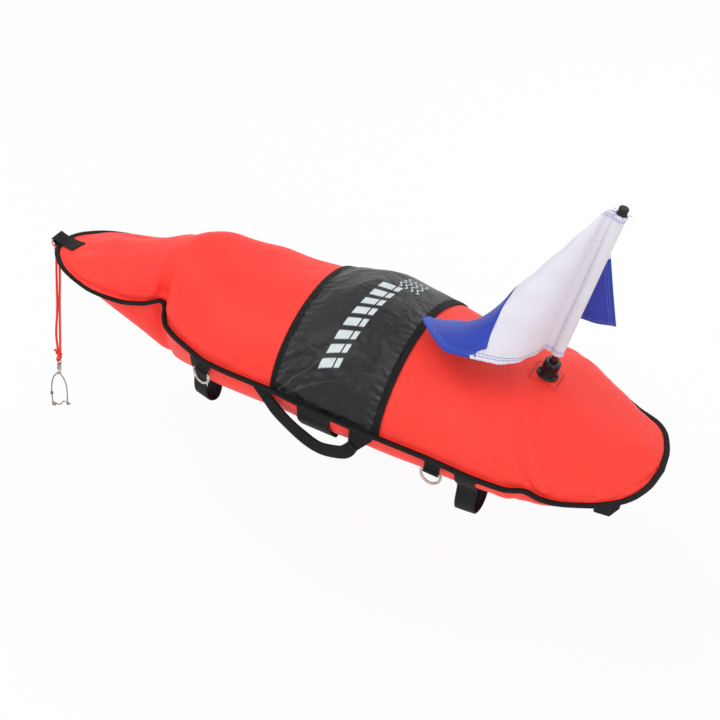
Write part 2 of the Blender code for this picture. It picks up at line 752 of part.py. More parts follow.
def make_mast(top):
    """Welded patch, socket, seal, nut, rod and tip cap."""
    tree = panel_tree(top)
    patch = sheet("mast_patch", patch_rows(tree, SEWN_GAP), PATCH_CLOTH, RED_FABRIC)
    axis = mast_axis()
    centre = Vector((MAST_X, 0, drop(tree, MAST_X, 0, 1)))
    side = Vector((math.cos(MAST_LEAN), 0, -math.sin(MAST_LEAN)))
    patch_tree = panel_tree(patch)
    reach = []
    for ring in (SOCKET_SPIGOT_RADIUS, SOCKET_FLANGE_RADIUS):
        for step in range(ROUND_STEPS):
            angle = 2 * math.pi * step / ROUND_STEPS
            spot = centre + (side * math.cos(angle) + Y_AXIS * math.sin(angle)) * ring
            spot.z = drop(patch_tree, spot.x, spot.y, 1)
            reach.append((spot - centre).dot(axis))
    base = centre + axis * (max(reach) + GAP)
    frame = frame_at(base, side, axis)
    hole = cylinder("mast_hole", SOCKET_SPIGOT_RADIUS + GAP, -SOCKET_DEPTH, SOCKET_DEPTH, frame)
    apply_tool(top, hole, "DIFFERENCE")
    apply_tool(patch, hole, "DIFFERENCE")

    bore = ROD_RADIUS + GAP
    lip = SOCKET_FLANGE / 3
    floor = -SOCKET_DEPTH + SOCKET_FLOOR
    turned("mast_socket", (
        (0, floor), (bore, floor), (bore, SOCKET_NECK_TOP), (SOCKET_NECK_RADIUS, SOCKET_NECK_TOP),
        (SOCKET_NECK_RADIUS, SOCKET_SHOULDER), (SOCKET_RADIUS, SOCKET_SHOULDER),
        (SOCKET_RADIUS, SOCKET_FLANGE), (SOCKET_FLANGE_RADIUS - lip, SOCKET_FLANGE),
        (SOCKET_FLANGE_RADIUS, SOCKET_FLANGE - lip), (SOCKET_FLANGE_RADIUS, 0),
        (SOCKET_SPIGOT_RADIUS, 0), (SOCKET_SPIGOT_RADIUS, -SOCKET_DEPTH), (0, -SOCKET_DEPTH),
    ), BLACK_PLASTIC, frame)

    seal_bottom = SOCKET_NECK_TOP + GAP
    seal_top = seal_bottom + SEAL_HEIGHT
    seal_outer = SOCKET_NECK_RADIUS - GAP
    turned("mast_seal", (
        (bore, seal_bottom), (bore, seal_top), (seal_outer, seal_top), (seal_outer, seal_bottom),
    ), BLACK_RUBBER, frame, closed=True)

    inside = SOCKET_NECK_RADIUS + GAP
    roof = seal_top + GAP
    foot = SOCKET_SHOULDER + GAP
    chamfer = (NUT_TOP - roof) / 2
    nut = turned("mast_nut", (
        (inside, foot), (inside, roof), (bore + GAP, roof), (bore + GAP, NUT_TOP),
        (NUT_RADIUS - chamfer, NUT_TOP), (NUT_RADIUS, NUT_TOP - chamfer), (NUT_RADIUS, foot),
    ), BLACK_PLASTIC, frame, closed=True)
    grooves = ring_of_grooves("nut_grooves", NUT_GROOVES, NUT_GROOVE_RADIUS,
                              NUT_RADIUS + NUT_GROOVE_RADIUS / 2, foot - OVERRUN,
                              NUT_TOP + OVERRUN, frame)
    apply_tool(nut, grooves, "DIFFERENCE")

    rod_foot = floor + GAP
    turned("mast_rod", ((0, ROD_TOP), (ROD_RADIUS, ROD_TOP), (ROD_RADIUS, rod_foot), (0, rod_foot)),
           BLACK_ROD, frame)
    cap_foot = TIP_TOP - TIP_LENGTH
    cap_bore = ROD_RADIUS + GAP
    turned("mast_tip_cap", (
        (0, TIP_TOP), (TIP_RADIUS - TIP_BEVEL, TIP_TOP), (TIP_RADIUS, TIP_TOP - TIP_BEVEL),
        (TIP_RADIUS, cap_foot), (cap_bore, cap_foot), (cap_bore, ROD_TOP + GAP), (0, ROD_TOP + GAP),
    ), BLACK_RUBBER, frame)
    return frame


def ruling(share):
    """Unit direction of one straight line of the hanging cloth."""
    last = len(RULING_SHARES) - 1
    routes = smooth_route([(-row[1], -row[2], 0) for row in RULING_SHARES], last * 16 + 1)
    along = min(max(share, 0), 1) * (len(routes) - 1)
    index = min(int(along), len(routes) - 2)
    lean = routes[index].lerp(routes[index + 1], along - index)
    return Vector((lean.x, lean.y, -math.sqrt(1 - lean.x**2 - lean.y**2)))


def flag_setting(frame):
    """Top of the hoist on the mast's axis, the way the cloth leaves the sleeve, and the mast's axis."""
    axis = mast_axis()
    top = frame.translation + axis * (SLEEVE_BOTTOM + FLAG_HEIGHT)
    forward = Y_AXIS.cross(axis) * -1
    leave = forward * math.cos(LEAVE_TURN) - Y_AXIS * math.sin(LEAVE_TURN)
    return top, leave, axis


def cone_place(setting, out, down):
    """A point of the flat flag on its cone: out from the mast and down from the top edge."""
    top, leave, axis = setting
    apex = top + leave * FOLD_START
    if out <= FOLD_START:
        return top + leave * out - axis * down
    reach = math.hypot(out - FOLD_START, down)
    turn = math.atan2(out - FOLD_START, down) / (math.pi / 2)
    return apex + ruling(turn) * reach


def cloth_place(setting, out, down):
    """Where a point of the flat flag hangs; its lower tail also curls, about a line to the notch."""
    hem, notch = Vector((TAIL_FOLD_OUT, FLAG_HEIGHT)), Vector((FLY - NOTCH, FLAG_HEIGHT / 2))
    line = (notch - hem).normalized()
    outward = Vector((-line.y, line.x))
    offset = Vector((out, down)) - hem
    beyond = offset.dot(outward)
    if down <= FLAG_HEIGHT / 2 or beyond <= 0:
        return cone_place(setting, out, down)
    foot = hem + line * offset.dot(line)
    place = cone_place(setting, *foot)
    ahead = (cone_place(setting, *(foot + outward * PROBE)) - place).normalized()
    beside = (cone_place(setting, *(foot + line * PROBE)) - place).normalized()
    turn = beyond / TAIL_CURL_RADIUS
    return place + TAIL_CURL_RADIUS * (ahead * math.sin(turn)
                                       + beside.cross(ahead) * (1 - math.cos(turn)))


def fan_turns(turns):
    """Turns about the cone's apex through all the given ones, none of them far apart."""
    filled = [turns[0]]
    for turn in turns[1:]:
        start = filled[-1]
        pieces = max(1, math.ceil((turn - start) / FAN_STEP))
        filled += [start + (turn - start) * piece / pieces for piece in range(1, pieces + 1)]
    return filled


def reach_out(out, turn):
    """Distance from the apex to a line parallel to the mast."""
    return (out - FOLD_START) / max(math.sin(turn), MERGE)


def reach_down(turn):
    """Distance from the apex to the hem."""
    return FLAG_HEIGHT / max(math.cos(turn), MERGE)


def reach_notch(turn, lower):
    """Distance from the apex to one of the swallowtail's two cut edges."""
    slope = NOTCH / (FLAG_HEIGHT / 2)
    start = FLY - NOTCH - FOLD_START - slope * FLAG_HEIGHT / 2 * (1 if lower else -1)
    return start / (math.sin(turn) - slope * math.cos(turn) * (1 if lower else -1))


def make_flag(frame):
    """Sleeve, white hoist half and blue swallowtail half."""
    setting = flag_setting(frame)
    top, leave, axis = setting
    beside = axis.cross(leave)
    bottom = top - axis * FLAG_HEIGHT
    rings = []
    for place in (bottom, top):
        for scale in (0, FLAG_CLOTH):
            ring = []
            for step in range(ROUND_STEPS):
                angle = 2 * math.pi * step / ROUND_STEPS
                ring.append(place + leave * (SLEEVE_HALF_LONG - scale) * math.cos(angle)
                            + beside * (SLEEVE_HALF_WIDE - scale) * math.sin(angle))
            rings.append(ring)
    outer_low, inner_low, outer_high, inner_high = rings
    skin("flag_sleeve", [outer_low, outer_high, inner_high, inner_low], WHITE_CLOTH, closed_path=True)

    def spot(turn, reach):
        return cloth_place(setting, FOLD_START + reach * math.sin(turn), reach * math.cos(turn))

    start = SLEEVE_HALF_LONG + GAP
    upright = math.pi / 2
    corner = math.atan2(WHITE_WIDTH - FOLD_START, FLAG_HEIGHT)
    low_tip = math.atan2(FLY - FOLD_START, FLAG_HEIGHT)
    notch = math.atan2(FLY - NOTCH - FOLD_START, FLAG_HEIGHT / 2)
    turns = fan_turns([0, corner, low_tip, notch, upright])
    outer = [min(reach_out(WHITE_WIDTH, turn), reach_down(turn)) for turn in turns]
    white = []
    for row in range(WHITE_ROWS + 1):
        share = row / WHITE_ROWS
        strip = [cloth_place(setting, start + (FOLD_START - start) * step / STRIP_COLUMNS,
                             FLAG_HEIGHT * share)
                 for step in range(STRIP_COLUMNS)]
        white.append([*strip, *[spot(turn, reach * share) for turn, reach in zip(turns, outer)]])
    sheet("flag_white_panel", white, FLAG_CLOTH, WHITE_CLOTH)

    inner_out = WHITE_WIDTH + SEWN_GAP
    foot = math.atan2(inner_out - FOLD_START, FLAG_HEIGHT)
    blue = []
    for turn in [foot, *[turn for turn in turns if turn > foot]]:
        if turn < low_tip + MERGE:
            far = reach_down(turn)
        else:
            far = reach_notch(turn, turn < notch)
        near = reach_out(inner_out, turn)
        blue.append([spot(turn, near + (far - near) * step / BLUE_ROWS) for step in range(BLUE_ROWS + 1)])
    sheet("flag_blue_panel", blue, FLAG_CLOTH, BLUE_CLOTH)
    hinge("flag_hinge", frame, ("flag_sleeve", "flag_white_panel", "flag_blue_panel"))


def d_ring_path(half_width, corner, side):
    """A D in its own plane: a bar along the first axis at height zero and a round below."""
    inner = half_width - corner
    path = [(-inner, 0), (inner, 0)]
    path += arc((inner, -corner), corner, 90, 0, 3)[1:]
    path += arc((0, -corner - side), half_width, 0, -180, RING_TURN_STEPS)
    path += arc((-inner, -corner), corner, 180, 90, 3)[:-1]
    return path


def make_d_ring(name, frame, half_width, corner, side, radius):
    """A ring hanging in the frame's XZ plane with its bar on the frame's X axis."""
    points = [frame @ Vector((along, 0, up)) for along, up in d_ring_path(half_width, corner, side)]
    return wire(name, points, radius, NICKEL, closed=True)


def seam_tangent(x):
    """Direction along the near seam, level, towards the tail."""
    ahead, behind = x + TAB_WIDTH / 2, x - TAB_WIDTH / 2
    return Vector((ahead - behind, near_reach(behind) - near_reach(ahead), 0)).normalized()


def binding_middle(x):
    """Middle of the near binding's lower face."""
    return Vector((x, -(near_reach(x) - BINDING_DEPTH / 2), -BINDING_HALF))


def make_side_rings():
    """The two D-rings, each in the fold of a webbing tab under the near binding."""
    for word, x in (("front", RING_FRONT_X), ("rear", RING_REAR_X)):
        hang = binding_middle(x)
        tangent = seam_tangent(x)
        bar = Vector((hang.x, hang.y, -RING_DROP))
        across = Z_AXIS.cross(tangent)
        fold_inside = RING_WIRE + GAP
        fold_outside = fold_inside + WEBBING
        ply = WEBBING + TAB_PLY_GAP / 2
        neck = math.degrees(math.acos(ply / fold_outside))
        outline = [(-ply, RING_DROP - BINDING_HALF - GAP)]
        outline += arc((0, 0), fold_outside, 90 + (90 - neck), 360 + 90 - (90 - neck), 18)
        outline += [(ply, RING_DROP - BINDING_HALF - GAP)]
        hole = arc((0, 0), fold_inside, 0, 360 - 360 / 16, 15)
        frame = Matrix.Identity(4)
        for column, axis in enumerate((across, Z_AXIS, tangent)):
            for row in range(3):
                frame[row][column] = axis[row]
        for row in range(3):
            frame[row][3] = bar[row]
        plate(f"d_ring_tab_{word}", (outline, hole), RING_TAB_WIDTH, BLACK_WEBBING, frame)
        ring_frame = frame_at(bar, tangent, Z_AXIS)
        make_d_ring(f"d_ring_{word}", ring_frame, RING_HALF_WIDTH, RING_CORNER, RING_SIDE, RING_WIRE)
        hinge(f"d_ring_hinge_{word}", ring_frame, (f"d_ring_{word}",))


def make_nose(top, bottom):
    """Webbing tab folded over the nose, with a D-ring in its fold."""
    top_tree, bottom_tree = panel_tree(top), panel_tree(bottom)
    tip = -LENGTH / 2
    clear = BINDING_HALF + GAP
    fold = NOSE_RING_WIRE + GAP
    edge = tip + BINDING_DEPTH * 2
    reach = (edge - NOSE_TAB_REAR) / NOSE_TAB_STEPS
    rows = []
    for across in range(NOSE_TAB_RIBS, -1, -1):
        y = TAB_WIDTH * (across / NOSE_TAB_RIBS - 1 / 2)
        panel_places = [NOSE_TAB_REAR + reach * step for step in range(NOSE_TAB_STEPS + 1)]
        over = [Vector((x, y, max(highest(top_tree, x, y, 1, reach / 2) + SEWN_GAP, clear)))
                for x in panel_places]
        under = [Vector((x, y, -max(highest(bottom_tree, x, y, -1, reach / 2) + SEWN_GAP, clear)))
                 for x in panel_places]
        fold_line = [Vector((along, y, up))
                     for along, up in arc((NOSE_RING_X, NOSE_RING_Z), fold, 90, 270, NOSE_FOLD_STEPS)]
        rows.append([*over, Vector((tip - GAP, y, clear)), *fold_line,
                     Vector((tip - GAP, y, -clear)), *reversed(under)])
    sheet("nose_tab", rows, WEBBING, BLACK_WEBBING)
    ring_frame = frame_at((NOSE_RING_X, 0, NOSE_RING_Z), Y_AXIS, Z_AXIS)
    make_d_ring("nose_ring", ring_frame, NOSE_RING_HALF_WIDTH, RING_CORNER / 2, RING_SIDE,
                NOSE_RING_WIRE)
    hinge("nose_ring_hinge", ring_frame, ("nose_ring",))


def circle(centre, radius, first, second, steps):
    """A closed circle in the plane of two directions."""
    return [centre + first * radius * math.cos(2 * math.pi * step / steps)
            + second * radius * math.sin(2 * math.pi * step / steps) for step in range(steps)]


def make_knot(name, loop_centre, loop_first, wraps_top):
    """A loop of cord with turns wrapped below or above it, joined to one body."""
    loop = to_mesh_object(wire(name, circle(loop_centre, KNOT_LOOP_RADIUS, loop_first, Z_AXIS, 16),
                               CORD_RADIUS, RED_CORD, closed=True))
    height = KNOT_WRAPS * CORD_RADIUS * 3 / 2
    bulge = KNOT_WRAP_RADIUS + CORD_RADIUS / 2
    profile = [(0, 0)]
    for turn in range(KNOT_WRAPS):
        low = -height * turn / KNOT_WRAPS
        deep = -height * (turn + 1) / KNOT_WRAPS
        profile += [(bulge - CORD_RADIUS / 2, low - (low - deep) / 12), (bulge, (low * 2 + deep) / 3),
                    (bulge, (low + deep * 2) / 3), (bulge - CORD_RADIUS / 2, deep + (low - deep) / 12)]
    profile += [(0, -height)]
    body = turned(f"{name}_wraps", profile, RED_CORD,
                  Matrix.Translation((loop_centre.x, loop_centre.y, wraps_top)), steps=16)
    body = to_mesh_object(body)
    apply_tool(loop, body, "UNION")
    return wraps_top - height


def make_eye(name, centre, up, material):
    """A wire eye with a shank and a head that the swivel's barrel holds; up is where the shank goes."""
    first = X_AXIS if up < 0 else Y_AXIS
    eye = to_mesh_object(wire(name, circle(centre, EYE_RADIUS, first, Z_AXIS, 14), EYE_WIRE,
                              material, closed=True))
    shank_start = EYE_RADIUS
    shank_end = EYE_RADIUS + EYE_WIRE + BARREL_WALL + GAP * 2
    profile = ((0, -shank_start), (SHANK_RADIUS, -shank_start), (SHANK_RADIUS, -shank_end),
               (HEAD_RADIUS, -shank_end), (HEAD_RADIUS, -shank_end - HEAD_HEIGHT),
               (0, -shank_end - HEAD_HEIGHT))
    frame = Matrix.Translation(centre)
    if up > 0:
        frame = frame @ Matrix.Rotation(math.pi, 4, "X")
    shank = to_mesh_object(turned(f"{name}_shank", profile, material, frame, steps=12))
    apply_tool(eye, shank, "UNION")


def make_lanyard():
    """Knots, two strands, swivel and clip, hanging straight down from the nose ring."""
    ring_bottom = RING_CORNER / 2 + RING_SIDE + NOSE_RING_HALF_WIDTH - NOSE_RING_Z
    loop_top = -ring_bottom + NOSE_RING_WIRE + CORD_RADIUS + GAP
    loop_centre = Vector((NOSE_RING_X, 0, loop_top - KNOT_LOOP_RADIUS))
    wraps_top = loop_centre.z - KNOT_LOOP_RADIUS + CORD_RADIUS / 2
    strands_top = make_knot("lanyard_top_knot", loop_centre, X_AXIS, wraps_top) - GAP
    strands_end = -LANYARD_KNOT_TOP + GAP
    for word, column in (("left", 1), ("right", 2)):
        places = [(NOSE_RING_X + CORD_RADIUS * row[column], 0,
                   strands_top + (strands_end - strands_top) * row[0]) for row in STRAND_SHARES]
        wire(f"lanyard_strand_{word}", smooth_route(places, STRAND_POINTS), CORD_RADIUS, RED_CORD)

    knot_height = KNOT_WRAPS * CORD_RADIUS * 3 / 2
    low_loop = Vector((NOSE_RING_X, 0, -LANYARD_KNOT_TOP - knot_height - KNOT_LOOP_RADIUS
                       + CORD_RADIUS / 2))
    make_knot("lanyard_bottom_knot", low_loop, Y_AXIS, -LANYARD_KNOT_TOP)
    eye_z = low_loop.z - KNOT_LOOP_RADIUS + CORD_RADIUS + EYE_WIRE + GAP - EYE_RADIUS
    make_eye("swivel_upper_eye", Vector((NOSE_RING_X, 0, eye_z)), -1, NICKEL)
    barrel_top = eye_z - EYE_RADIUS - EYE_WIRE - GAP
    half = BARREL_LENGTH / 2
    cavity = BARREL_RADIUS - BARREL_WALL
    hole = SHANK_RADIUS + GAP
    turned("swivel_barrel", (
        (hole, -half), (hole, -half + BARREL_WALL), (cavity, -half + BARREL_WALL),
        (cavity, half - BARREL_WALL), (hole, half - BARREL_WALL), (hole, half),
        (BARREL_RADIUS - BARREL_WALL, half), (BARREL_RADIUS, half - BARREL_WALL * 2),
        (BARREL_RADIUS, -half + BARREL_WALL * 2), (BARREL_RADIUS - BARREL_WALL, -half),
    ), NICKEL, Matrix.Translation((NOSE_RING_X, 0, barrel_top - half)), closed=True, steps=16)
    low_eye_z = barrel_top - BARREL_LENGTH - GAP - EYE_WIRE - EYE_RADIUS
    make_eye("swivel_lower_eye", Vector((NOSE_RING_X, 0, low_eye_z)), 1, NICKEL)
    make_clip(low_eye_z - EYE_RADIUS + EYE_WIRE + CLIP_WIRE + GAP)
    hinge("lanyard_hinge", frame_at((NOSE_RING_X, 0, -ring_bottom), Y_AXIS, Z_AXIS),
          ("lanyard_top_knot", "lanyard_strand_left", "lanyard_strand_right", "lanyard_bottom_knot",
           "swivel_upper_eye", "swivel_barrel"))
    hinge("clip_hinge", Matrix.Translation((NOSE_RING_X, 0, barrel_top - BARREL_LENGTH)),
          ("swivel_lower_eye", "clip_bow", "clip_bead"))


def make_clip(apex):
    """Wire bow through the lower eye, a crimped bead on it, and a latch hooked across its mouth."""
    middle = NOSE_RING_X

    def spot(across, down, y=0.0):
        return Vector((middle + across, y, apex - down))

    wide, tall, turn = CLIP_HALF_WIDTH, CLIP_LENGTH, CLIP_TURN_RADIUS
    left_leg = [spot(across * wide, down * tall) for across, down in LEFT_LEG_SHARES]
    right_leg = [spot(across * wide, down * tall) for across, down in RIGHT_LEG_SHARES]
    top_turn = [spot(along, turn - up) for along, up in arc((0, 0), turn, 180, 0, 8)]
    eyelet_centre = spot(EYELET_SHARE * wide, tall)
    left = smooth_route([top_turn[0], *left_leg], 16)
    eyelet = [Vector((eyelet_centre.x + a, 0, eyelet_centre.z + b))
              for a, b in arc((0, 0), EYELET_RADIUS + CLIP_WIRE, 150, 150 + 330, 14)]
    catch_down = CATCH_SHARE * tall
    catch = [spot(wide, catch_down - CLIP_WIRE * 4 / 3),
             spot(wide, catch_down - CLIP_WIRE / 3, LATCH_OFFSET / 3),
             spot(wide, catch_down, LATCH_OFFSET), spot(wide, catch_down, LATCH_OFFSET * 2)]
    right = smooth_route([top_turn[-1], *right_leg], 14)
    path = [*reversed(eyelet), *reversed(left[1:]), *top_turn, *right[1:], *catch]
    wire("clip_bow", path, CLIP_WIRE, STAINLESS)

    latch_height = catch_down - CLIP_WIRE * 2 - GAP
    pin_low = eyelet_centre + Vector((0, -LATCH_OFFSET, 0))
    pin_high = eyelet_centre + Vector((0, LATCH_OFFSET * 2 / 3, 0))
    arm = smooth_route([
        eyelet_centre + Vector((CLIP_WIRE, LATCH_OFFSET, 0)),
        spot(-0.2 * wide, tall, LATCH_OFFSET), spot(0.15 * wide, 0.93 * tall, LATCH_OFFSET),
        spot(0.4 * wide, latch_height, LATCH_OFFSET), spot(wide, latch_height, LATCH_OFFSET),
        spot(1.25 * wide, latch_height, LATCH_OFFSET)], 14)
    wire("clip_latch", [pin_low, eyelet_centre, pin_high, *arm], CLIP_WIRE, STAINLESS)
    hinge("latch_hinge", frame_at(eyelet_centre, Y_AXIS, Z_AXIS), ("clip_latch",))

    bead_index = 10
    along = (left[bead_index + 1] - left[bead_index - 1]).normalized()
    bore = CLIP_WIRE + GAP
    half = BEAD_HEIGHT / 2
    turned("clip_bead", (
        (bore, -half), (bore, half), (BEAD_RADIUS * 3 / 4, half), (BEAD_RADIUS, half / 2),
        (BEAD_RADIUS, -half / 2), (BEAD_RADIUS * 3 / 4, -half),
    ), NICKEL, frame_at(left[bead_index], Y_AXIS, along), closed=True, steps=14)


def handle_frame():
    """Frame of the hanging handle: X along the seam, Y up, Z across, origin on its hinge line."""
    front, rear = binding_middle(HANDLE_FRONT_X), binding_middle(HANDLE_REAR_X)
    along = (rear - front).normalized()
    frame = Matrix.Identity(4)
    across = along.cross(Z_AXIS)
    origin = (front + rear) / 2 - Z_AXIS * (GAP * 2 + HANDLE_HINGE)
    for column, axis in enumerate((along, Z_AXIS, across)):
        for row in range(3):
            frame[row][column] = axis[row]
    for row in range(3):
        frame[row][3] = origin[row]
    return frame, (rear - front).length / 2


def make_handle():
    """Folded webbing grip with a flat end at each side, hanging from the near binding."""
    frame, half = handle_frame()
    places = [Vector((along * half, -down * HANDLE_DROP, 0)) for along, down in GRIP_SHARES]
    route = smooth_route(places, GRIP_STEPS)
    wide, thick = GRIP_WIDTH / 2, GRIP_THICKNESS / 2
    rings = []
    for index, place in enumerate(route):
        along = (route[min(index + 1, len(route) - 1)] - route[max(index - 1, 0)]).normalized()
        side = Vector((-along.y, along.x, 0))
        section = [(wide, thick / 3), (wide * 2 / 3, thick), (-wide * 2 / 3, thick), (-wide, thick / 3),
                   (-wide, -thick / 3), (-wide * 2 / 3, -thick), (wide * 2 / 3, -thick),
                   (wide, -thick / 3)]
        rings.append([frame @ (place + side * a + Vector((0, 0, b))) for a, b in section])
    skin("handle_grip", rings, BLACK_WEBBING)

    def end_corners(index, step):
        along = (route[index + step] - route[index]).normalized()
        side = Vector((-along.y, along.x, 0))
        place = route[index] - along * GAP
        return place + side * wide, place - side * wide

    high, low = end_corners(0, 1)
    left = -half - HANDLE_END_HALF_WIDTH
    right = -half + HANDLE_END_HALF_WIDTH
    seat = HANDLE_HINGE
    plate("handle_front_end", ([(left, seat), (low.x, low.y), (high.x, high.y), (right, seat)],),
          WEBBING, BLACK_WEBBING, frame)
    low, high = end_corners(-1, -1)
    left, right = half - HANDLE_END_HALF_WIDTH, half + HANDLE_END_HALF_WIDTH
    shoulder = -HANDLE_END_HALF_WIDTH / 3
    plate("handle_rear_end", ([(left, seat), (left, shoulder / 2), (high.x, high.y), (low.x, low.y),
                               (right, shoulder), (right, seat)],), WEBBING, BLACK_WEBBING, frame)
    hinge("handle_hinge", frame, ("handle_grip", "handle_front_end", "handle_rear_end"))


def panel_place(x, angle, half):
    """A point on a panel's inner face, from the ribs on either side; the angle runs from the near side."""
    index = max(i for i in range(len(STATIONS) - 1) if flange_inner(STATIONS[i], -1).x <= x)
    start, end = (flange_inner(STATIONS[i], -1).x for i in (index, index + 1))
    between = (x - start) / (end - start)
    column = RIB_STEPS + 1 - angle / 180 * RIB_STEPS
    low = int(column)
    places = []
    for station in (STATIONS[index], STATIONS[index + 1]):
        row = rib(station, half)
        places.append(row[low].lerp(row[low + 1], column - low) if column > low else row[low])
    return places[0].lerp(places[1], between)


def loop_rows(x_low, x_high, leave, land, depth, bulge):
    """Rows of a belly loop: along the panel from the seam, round the loop, and on along the panel."""
    inner = {LENGTH * (share - 1 / 2) for share in STATIONS}
    places = [x_low, *sorted(x for x in inner if x_low < x < x_high), x_high]
    column = 180 / RIB_STEPS
    first = [STRAP_START, *[column * n for n in range(1, RIB_STEPS) if STRAP_START < column * n < leave]]
    last = [*[column * n for n in range(1, RIB_STEPS) if land < column * n < land + STRAP_RUN],
            land + STRAP_RUN]
    clear = PANEL_CLOTH + SEWN_GAP
    before = outward_rows([[panel_place(x, a, -1) for a in (*first, leave)] for x in places], clear)
    after = outward_rows([[panel_place(x, a, -1) for a in (land, *last)] for x in places], clear)
    rows = []
    for start, end in zip(before, after):
        near, far = start[-1], end[0]
        loop = []
        for step in range(1, LOOP_STEPS):
            angle = math.pi * step / LOOP_STEPS
            share = (1 - math.copysign(abs(math.cos(angle))**LOOP_SQUARENESS, math.cos(angle))) / 2
            fall = math.sin(angle)**LOOP_SQUARENESS
            place = near.lerp(far, share)
            place.y -= bulge * math.sin(angle) * (1 - share)
            place.z -= depth * fall
            loop.append(place)
        rows.append([*start, *loop, *end])
    return rows


def make_loops():
    """Three webbing loops under the belly, sewn to the bottom panel from the near seam."""
    for name, middle, width, leave, land, depth, bulge in BELLY_LOOPS:
        x_low, x_high = middle - width / 2, middle + width / 2
        sheet(name, loop_rows(x_low, x_high, leave, land, depth, bulge), LOOP_CLOTH, BLACK_WEBBING)


def make_tail_tab():
    """A strip of webbing folded to a point, hanging under the near binding at the tail."""
    along = seam_tangent(TAIL_TAB_X)
    wide, point = TAIL_TAB_HALF_WIDTH, TAIL_TAB_HALF_WIDTH * TAIL_TAB_POINT_SHARE
    frame = frame_at(binding_middle(TAIL_TAB_X) - Z_AXIS * GAP, along, along.cross(Z_AXIS))
    outline = [(-wide, 0), (-wide, -TAIL_TAB_SIDE), (point, -TAIL_TAB_DROP), (wide, -TAIL_TAB_SIDE),
               (wide, 0)]
    plate("tail_tab", (outline,), WEBBING * 2, BLACK_WEBBING, frame)


def make_valve(bottom):
    """Screw-capped inflation valve welded into the bottom panel, with a loose non-return flap."""
    tree = panel_tree(bottom)
    reach = []
    for ring in (VALVE_SPIGOT_RADIUS, VALVE_FLANGE_RADIUS):
        for step in range(ROUND_STEPS):
            angle = 2 * math.pi * step / ROUND_STEPS
            reach.append(drop(tree, VALVE_X + ring * math.cos(angle), VALVE_Y + ring * math.sin(angle), -1))
    base = Vector((VALVE_X, VALVE_Y, min(reach) - GAP))
    frame = frame_at(base, X_AXIS, -Z_AXIS)
    hole = cylinder("valve_hole", VALVE_SPIGOT_RADIUS + GAP, -VALVE_SPIGOT * 2, VALVE_SPIGOT * 2, frame)
    apply_tool(bottom, hole, "DIFFERENCE")
    chamber_floor = -VALVE_SEAT
    chamber_top = chamber_floor - FLAP - FLAP_LIFT - GAP * 2
    turned("valve_body", (
        (VALVE_BORE, chamber_top - VALVE_SEAT), (VALVE_BORE, chamber_top),
        (VALVE_CHAMBER_RADIUS, chamber_top), (VALVE_CHAMBER_RADIUS, chamber_floor),
        (VALVE_BORE, chamber_floor), (VALVE_BORE, VALVE_NECK), (VALVE_NECK_RADIUS, VALVE_NECK),
        (VALVE_NECK_RADIUS, VALVE_FLANGE), (VALVE_FLANGE_RADIUS, VALVE_FLANGE),
        (VALVE_FLANGE_RADIUS, 0), (VALVE_SPIGOT_RADIUS, 0),
        (VALVE_SPIGOT_RADIUS, chamber_top - VALVE_SEAT),
    ), BLACK_PLASTIC, frame, closed=True)
    flap_low = chamber_floor - GAP
    turned("valve_flap", ((0, flap_low), (FLAP_RADIUS, flap_low), (FLAP_RADIUS, flap_low - FLAP),
                          (0, flap_low - FLAP)), BLACK_RUBBER, frame)
    inside = VALVE_NECK_RADIUS + GAP
    foot, roof = VALVE_FLANGE + GAP, VALVE_NECK + GAP
    top = roof + CAP_WALL
    cap = turned("valve_cap", (
        (0, top), (CAP_RADIUS - CAP_WALL / 2, top), (CAP_RADIUS, top - CAP_WALL / 2),
        (CAP_RADIUS, foot), (inside, foot), (inside, roof), (0, roof),
    ), BLACK_PLASTIC, frame)
    grooves = ring_of_grooves("cap_grooves", CAP_GROOVES, CAP_GROOVE_RADIUS,
                              CAP_RADIUS + CAP_GROOVE_RADIUS / 2, foot - OVERRUN / 4,
                              top + OVERRUN, frame)
    apply_tool(cap, grooves, "DIFFERENCE")


def build():
    top, bottom = make_hull()
    make_band()
    mast_frame = make_mast(top)
    make_flag(mast_frame)
    make_nose(top, bottom)
    make_side_rings()
    make_handle()
    make_loops()
    make_tail_tab()
    make_valve(bottom)
    make_lanyard()


build()
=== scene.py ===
"""Looks of the dive flag float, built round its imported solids.

Metres, +Z up. X runs from the nose to the tail, the near side is -Y, and the origin is the middle of
the hull on the plane of its seam.
"""

import math

import bmesh
import bpy
import numpy as np
from mathutils import Matrix, Vector
from mathutils.bvhtree import BVHTree


